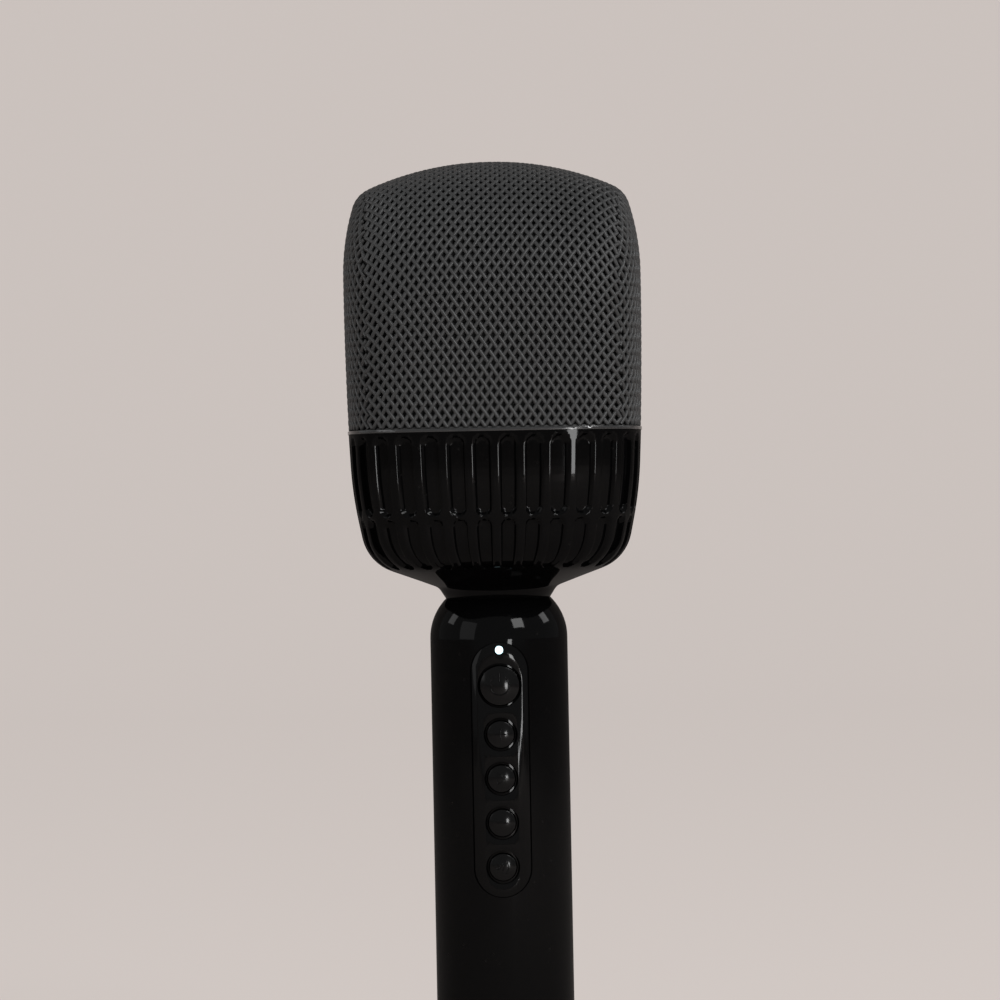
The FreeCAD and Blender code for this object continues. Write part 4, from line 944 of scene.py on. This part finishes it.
    def steepness(self, row: int, rows: list[tuple[float, float, float, float]]) -> float:
        """How much of a pocket's depth is taken sideways at one row.

        Args:
            row: The row's place in rows.
            rows: The rows of the closed wall.

        Returns:
            1 on an upright wall, more where it slants.
        """
        here, above = rows[row], rows[min(row + 1, self.outer_rows)]
        if here is above:
            return 1.0
        slant = abs(above[0] - here[0]) / abs(above[2] - here[2] + 1e-6)
        return 1.0 + self.slant_gain * min(1.0, slant)

    def even_angles(self, count: int) -> list[float]:
        """Plan angles that are evenly spaced along the rounded square.

        Args:
            count: How many angles.

        Returns:
            The angles in radians, from the middle of the right side.
        """
        fine = np.linspace(0, 2 * math.pi, 2881)
        radius = (np.abs(np.cos(fine)) ** 4 + np.abs(np.sin(fine)) ** 4) ** -0.25
        points = np.column_stack([radius * np.cos(fine), radius * np.sin(fine)])
        length = run_length(points)
        return [float(np.interp(length[-1] * i / count, length, fine)) for i in range(count)]


# ---------------------------------------------------------------- handle and buttons
class Mark(Enum):
    """Raised sign on a button."""

    POWER = "power"
    PLUS = "volume_up"
    PLAY = "play"
    MINUS = "volume_down"
    ECHO = "echo"


@dataclass
class Buttons:
    """Raised signs on the caps, following the curve of their faces."""

    wardrobe: Wardrobe
    bead: float = 0.2
    sink: float = 0.13
    arc_steps: int = 20

    def strokes(self, mark: Mark) -> list[list[tuple[float, float]]]:
        """Lines of a sign as (sideways, upwards) points in millimetres.

        Args:
            mark: Which sign.

        Returns:
            One list of points per line.
        """
        def bow(radius: float, start: float, end: float, x: float = 0.0) -> list[tuple[float, float]]:
            """Arc between two angles in degrees."""
            angles = [math.radians(start + (end - start) * i / self.arc_steps)
                      for i in range(self.arc_steps + 1)]
            return [(x + radius * math.cos(a), radius * math.sin(a)) for a in angles]

        if mark is Mark.POWER:
            return [bow(2.5, 125, 415), [(0, 1.0), (0, 3.1)]]
        if mark is Mark.PLUS:
            return [[(-1.5, 0), (1.5, 0)], [(0, -1.5), (0, 1.5)]]
        if mark is Mark.MINUS:
            return [[(-1.5, 0), (1.5, 0)]]
        if mark is Mark.PLAY:
            return [[(-1.0, -1.4), (1.5, 0), (-1.0, 1.4), (-1.0, -1.4)]]
        return [bow(0.5, 0, 360, -1.3), bow(1.2, -50, 50, -1.0), bow(2.4, -45, 45, -1.0)]

    def build(self) -> None:
        """Make, place and dress the signs."""
        for mark in Mark:
            low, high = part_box(mark.value + "_button")
            centre = (low.z + high.z) / 2 / MM
            face = -low.y / MM
            lift = self.bead - self.sink
            runs = [[Vector((x, lift - math.sqrt(face * face - x * x), centre + up)) for x, up in stroke]
                    for stroke in self.strokes(mark)]
            piece = tube_piece(mark.value + "_sign", runs, self.bead, 2)
            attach(piece, mark.value + "_button_assembly")
            self.wardrobe.dress(piece, "panel")
            LOG.info("%s: %d faces", piece.name, len(piece.data.polygons))


@dataclass
class RoundedPieces:
    """Solid pieces whose edges are broken with a small radius, as a mould leaves them."""

    wardrobe: Wardrobe
    slots: dict[str, str]
    bodies: dict[str, str]
    sharp_angle: float = 38.0

    def build(self, node: str, width: float) -> None:
        """Copy one node's shape, round its edges and let the copy stand for it.

        Args:
            node: The node's name.
            width: Width of the rounding in millimetres.
        """
        source = frame["nodes"][node]
        work = bmesh.new()
        work.from_mesh(source.data)
        bmesh.ops.scale(work, verts=work.verts, vec=(1 / MM,) * 3)
        bmesh.ops.remove_doubles(work, verts=work.verts, dist=0.002)
        bmesh.ops.dissolve_limit(work, angle_limit=math.radians(1.0), verts=work.verts, edges=work.edges)
        sharp = [e for e in work.edges
                 if len(e.link_faces) == 2 and e.calc_face_angle(0.0) > math.radians(self.sharp_angle)]
        bmesh.ops.bevel(work, geom=sharp, offset=width, offset_type="OFFSET", affect="EDGES", segments=2,
                        profile=0.5, material=-1, clamp_overlap=True)
        piece = finish_mesh(node + "_rounded", work, 40.0)
        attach(piece, self.bodies[node])
        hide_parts(node)
        self.wardrobe.dress(piece, self.slots[node])
        LOG.info("%s: %d faces", piece.name, len(piece.data.polygons))


# ---------------------------------------------------------------- the room
@dataclass
class Studio:
    """Pale floor and backdrop, soft light and the camera."""

    backdrop: tuple[float, float, float] = (0.655, 0.595, 0.565)
    distance: float = 1.10
    focal: float = 150.0
    aim: tuple[float, float, float] = (0.001, 0.0, 0.1657)
    roll: float = 1.1
    world_strength: float = 0.5
    own_light: float = 0.8

    def build_floor(self) -> None:
        """Floor that curves up into a backdrop behind and stays the same pale colour."""
        work = bmesh.new()
        profile = [Vector((0, -3.0, 0)), Vector((0, 2.2, 0))]
        profile += [Vector((0, 2.2 + math.sin(a), 1 - math.cos(a)))
                    for a in np.linspace(0.1, math.pi / 2, 12)]
        profile.append(Vector((0, 3.2, 5.0)))
        verts = [work.verts.new(p + Vector((-5.0, 0, 0))) for p in profile]
        edges = [work.edges.new(pair) for pair in zip(verts, verts[1:])]
        side = bmesh.ops.extrude_edge_only(work, edges=edges)
        moved = [v for v in side["geom"] if isinstance(v, bmesh.types.BMVert)]
        bmesh.ops.translate(work, verts=moved, vec=(10.0, 0, 0))
        mesh = bpy.data.meshes.new("floor")
        work.to_mesh(mesh)
        work.free()
        floor = link("floor", mesh)
        floor.data.materials.append(self.paper())

    def paper(self) -> bpy.types.Material:
        """Backdrop paper that shows its own colour to the camera and keeps a soft shadow.

        Returns:
            The material.
        """
        material = bpy.data.materials.new("backdrop paper")
        material.use_nodes = True
        nodes, links = material.node_tree.nodes, material.node_tree.links
        nodes.clear()
        output = nodes.new("ShaderNodeOutputMaterial")
        matte, own, mix = (nodes.new("ShaderNodeBsdfDiffuse"), nodes.new("ShaderNodeEmission"),
                           nodes.new("ShaderNodeMixShader"))
        matte.inputs["Color"].default_value = (*self.backdrop, 1.0)
        own.inputs["Color"].default_value = (*self.backdrop, 1.0)
        seen = nodes.new("ShaderNodeLightPath")
        share = nodes.new("ShaderNodeMath")
        share.operation = "MULTIPLY"
        share.inputs[1].default_value = self.own_light
        links.new(seen.outputs["Is Camera Ray"], share.inputs[0])
        links.new(share.outputs["Value"], mix.inputs["Fac"])
        links.new(matte.outputs["BSDF"], mix.inputs[1])
        links.new(own.outputs["Emission"], mix.inputs[2])
        links.new(mix.outputs["Shader"], output.inputs["Surface"])
        return material

    def build_lamp(self, name: str, place: Vector, size: float, power: float) -> None:
        """Soft area lamp that faces the head.

        Args:
            name: The lamp's name.
            place: Where it stands.
            size: Its width and height.
            power: Its power in watts.
        """
        data = bpy.data.lights.new(name, "AREA")
        data.size = size
        data.energy = power
        lamp = bpy.data.objects.new(name, data)
        lamp.location = place
        lamp.rotation_euler = (Vector((0, 0, 0.2)) - place).to_track_quat("-Z", "Y").to_euler()
        bpy.context.scene.collection.objects.link(lamp)

    def build_world(self, strength: float) -> None:
        """Even pale light from all round."""
        world = bpy.data.worlds.new("soft room")
        world.use_nodes = True
        background = world.node_tree.nodes["Background"]
        background.inputs["Color"].default_value = (1.0, 1.0, 1.0, 1.0)
        background.inputs["Strength"].default_value = strength
        bpy.context.scene.world = world

    def build_camera(self) -> None:
        """Long lens straight at the front, a little turned about its own axis."""
        data = bpy.data.cameras.new("camera")
        data.lens = self.focal
        data.sensor_width = 36.0
        data.clip_start = 0.05
        camera = bpy.data.objects.new("camera", data)
        camera.location = Vector(self.aim) + Vector((0, -self.distance, 0))
        camera.rotation_euler = (math.pi / 2, 0, 0)
        camera.rotation_euler.rotate_axis("Z", math.radians(-self.roll))
        bpy.context.scene.collection.objects.link(camera)
        bpy.context.scene.camera = camera

    def build(self) -> None:
        """Set up the whole room."""
        self.build_floor()
        self.build_world(self.world_strength)
        for name, place, size, power in LAMPS:
            self.build_lamp(name, Vector(place), size, power)
        self.build_camera()
        bpy.context.scene.view_settings.view_transform = "Standard"


def dress_frame(wardrobe: Wardrobe, slots: dict[str, str]) -> None:
    """Give every solid its finish.

    Args:
        wardrobe: The finishes.
        slots: Each node's slot.
    """
    for node, piece in frame["nodes"].items():
        wardrobe.dress(piece, slots[node])


def main() -> None:
    """Build every sub-assembly in order."""
    logging.basicConfig(level=logging.INFO, format="%(name)s %(message)s")
    record = frame["record"]
    slots = {part["node"]: part["material_slot"] for part in record["subparts"]}
    bodies = {node: body for body, nodes in record["behaviour"]["bodies"].items() for node in nodes}
    wardrobe = Wardrobe({})
    Studio().build()
    dress_frame(wardrobe, slots)
    mesh_low, mesh_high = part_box("grille_mesh")
    collar_low, collar_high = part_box("collar_shell")
    _, seam_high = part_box("collar_trim_ring")
    seam_half = seam_high.x / MM - SEAM_STEP
    form = GrilleForm(mesh_low.z / MM, mesh_high.z / MM, mesh_high.x / MM, mesh_high.y / MM, seam_half)
    Grille(form, wardrobe).build()
    Collar(wardrobe, collar_low.z / MM, collar_high.z / MM, seam_high.z / MM, seam_half).build()
    rounded = RoundedPieces(wardrobe, slots, bodies)
    for node, width in ROUNDINGS.items():
        rounded.build(node, width)
    for mark in Mark:
        rounded.build(mark.value + "_button", BUTTON_ROUNDING)
    Buttons(wardrobe).build()


if __name__ == "__main__":
    main()
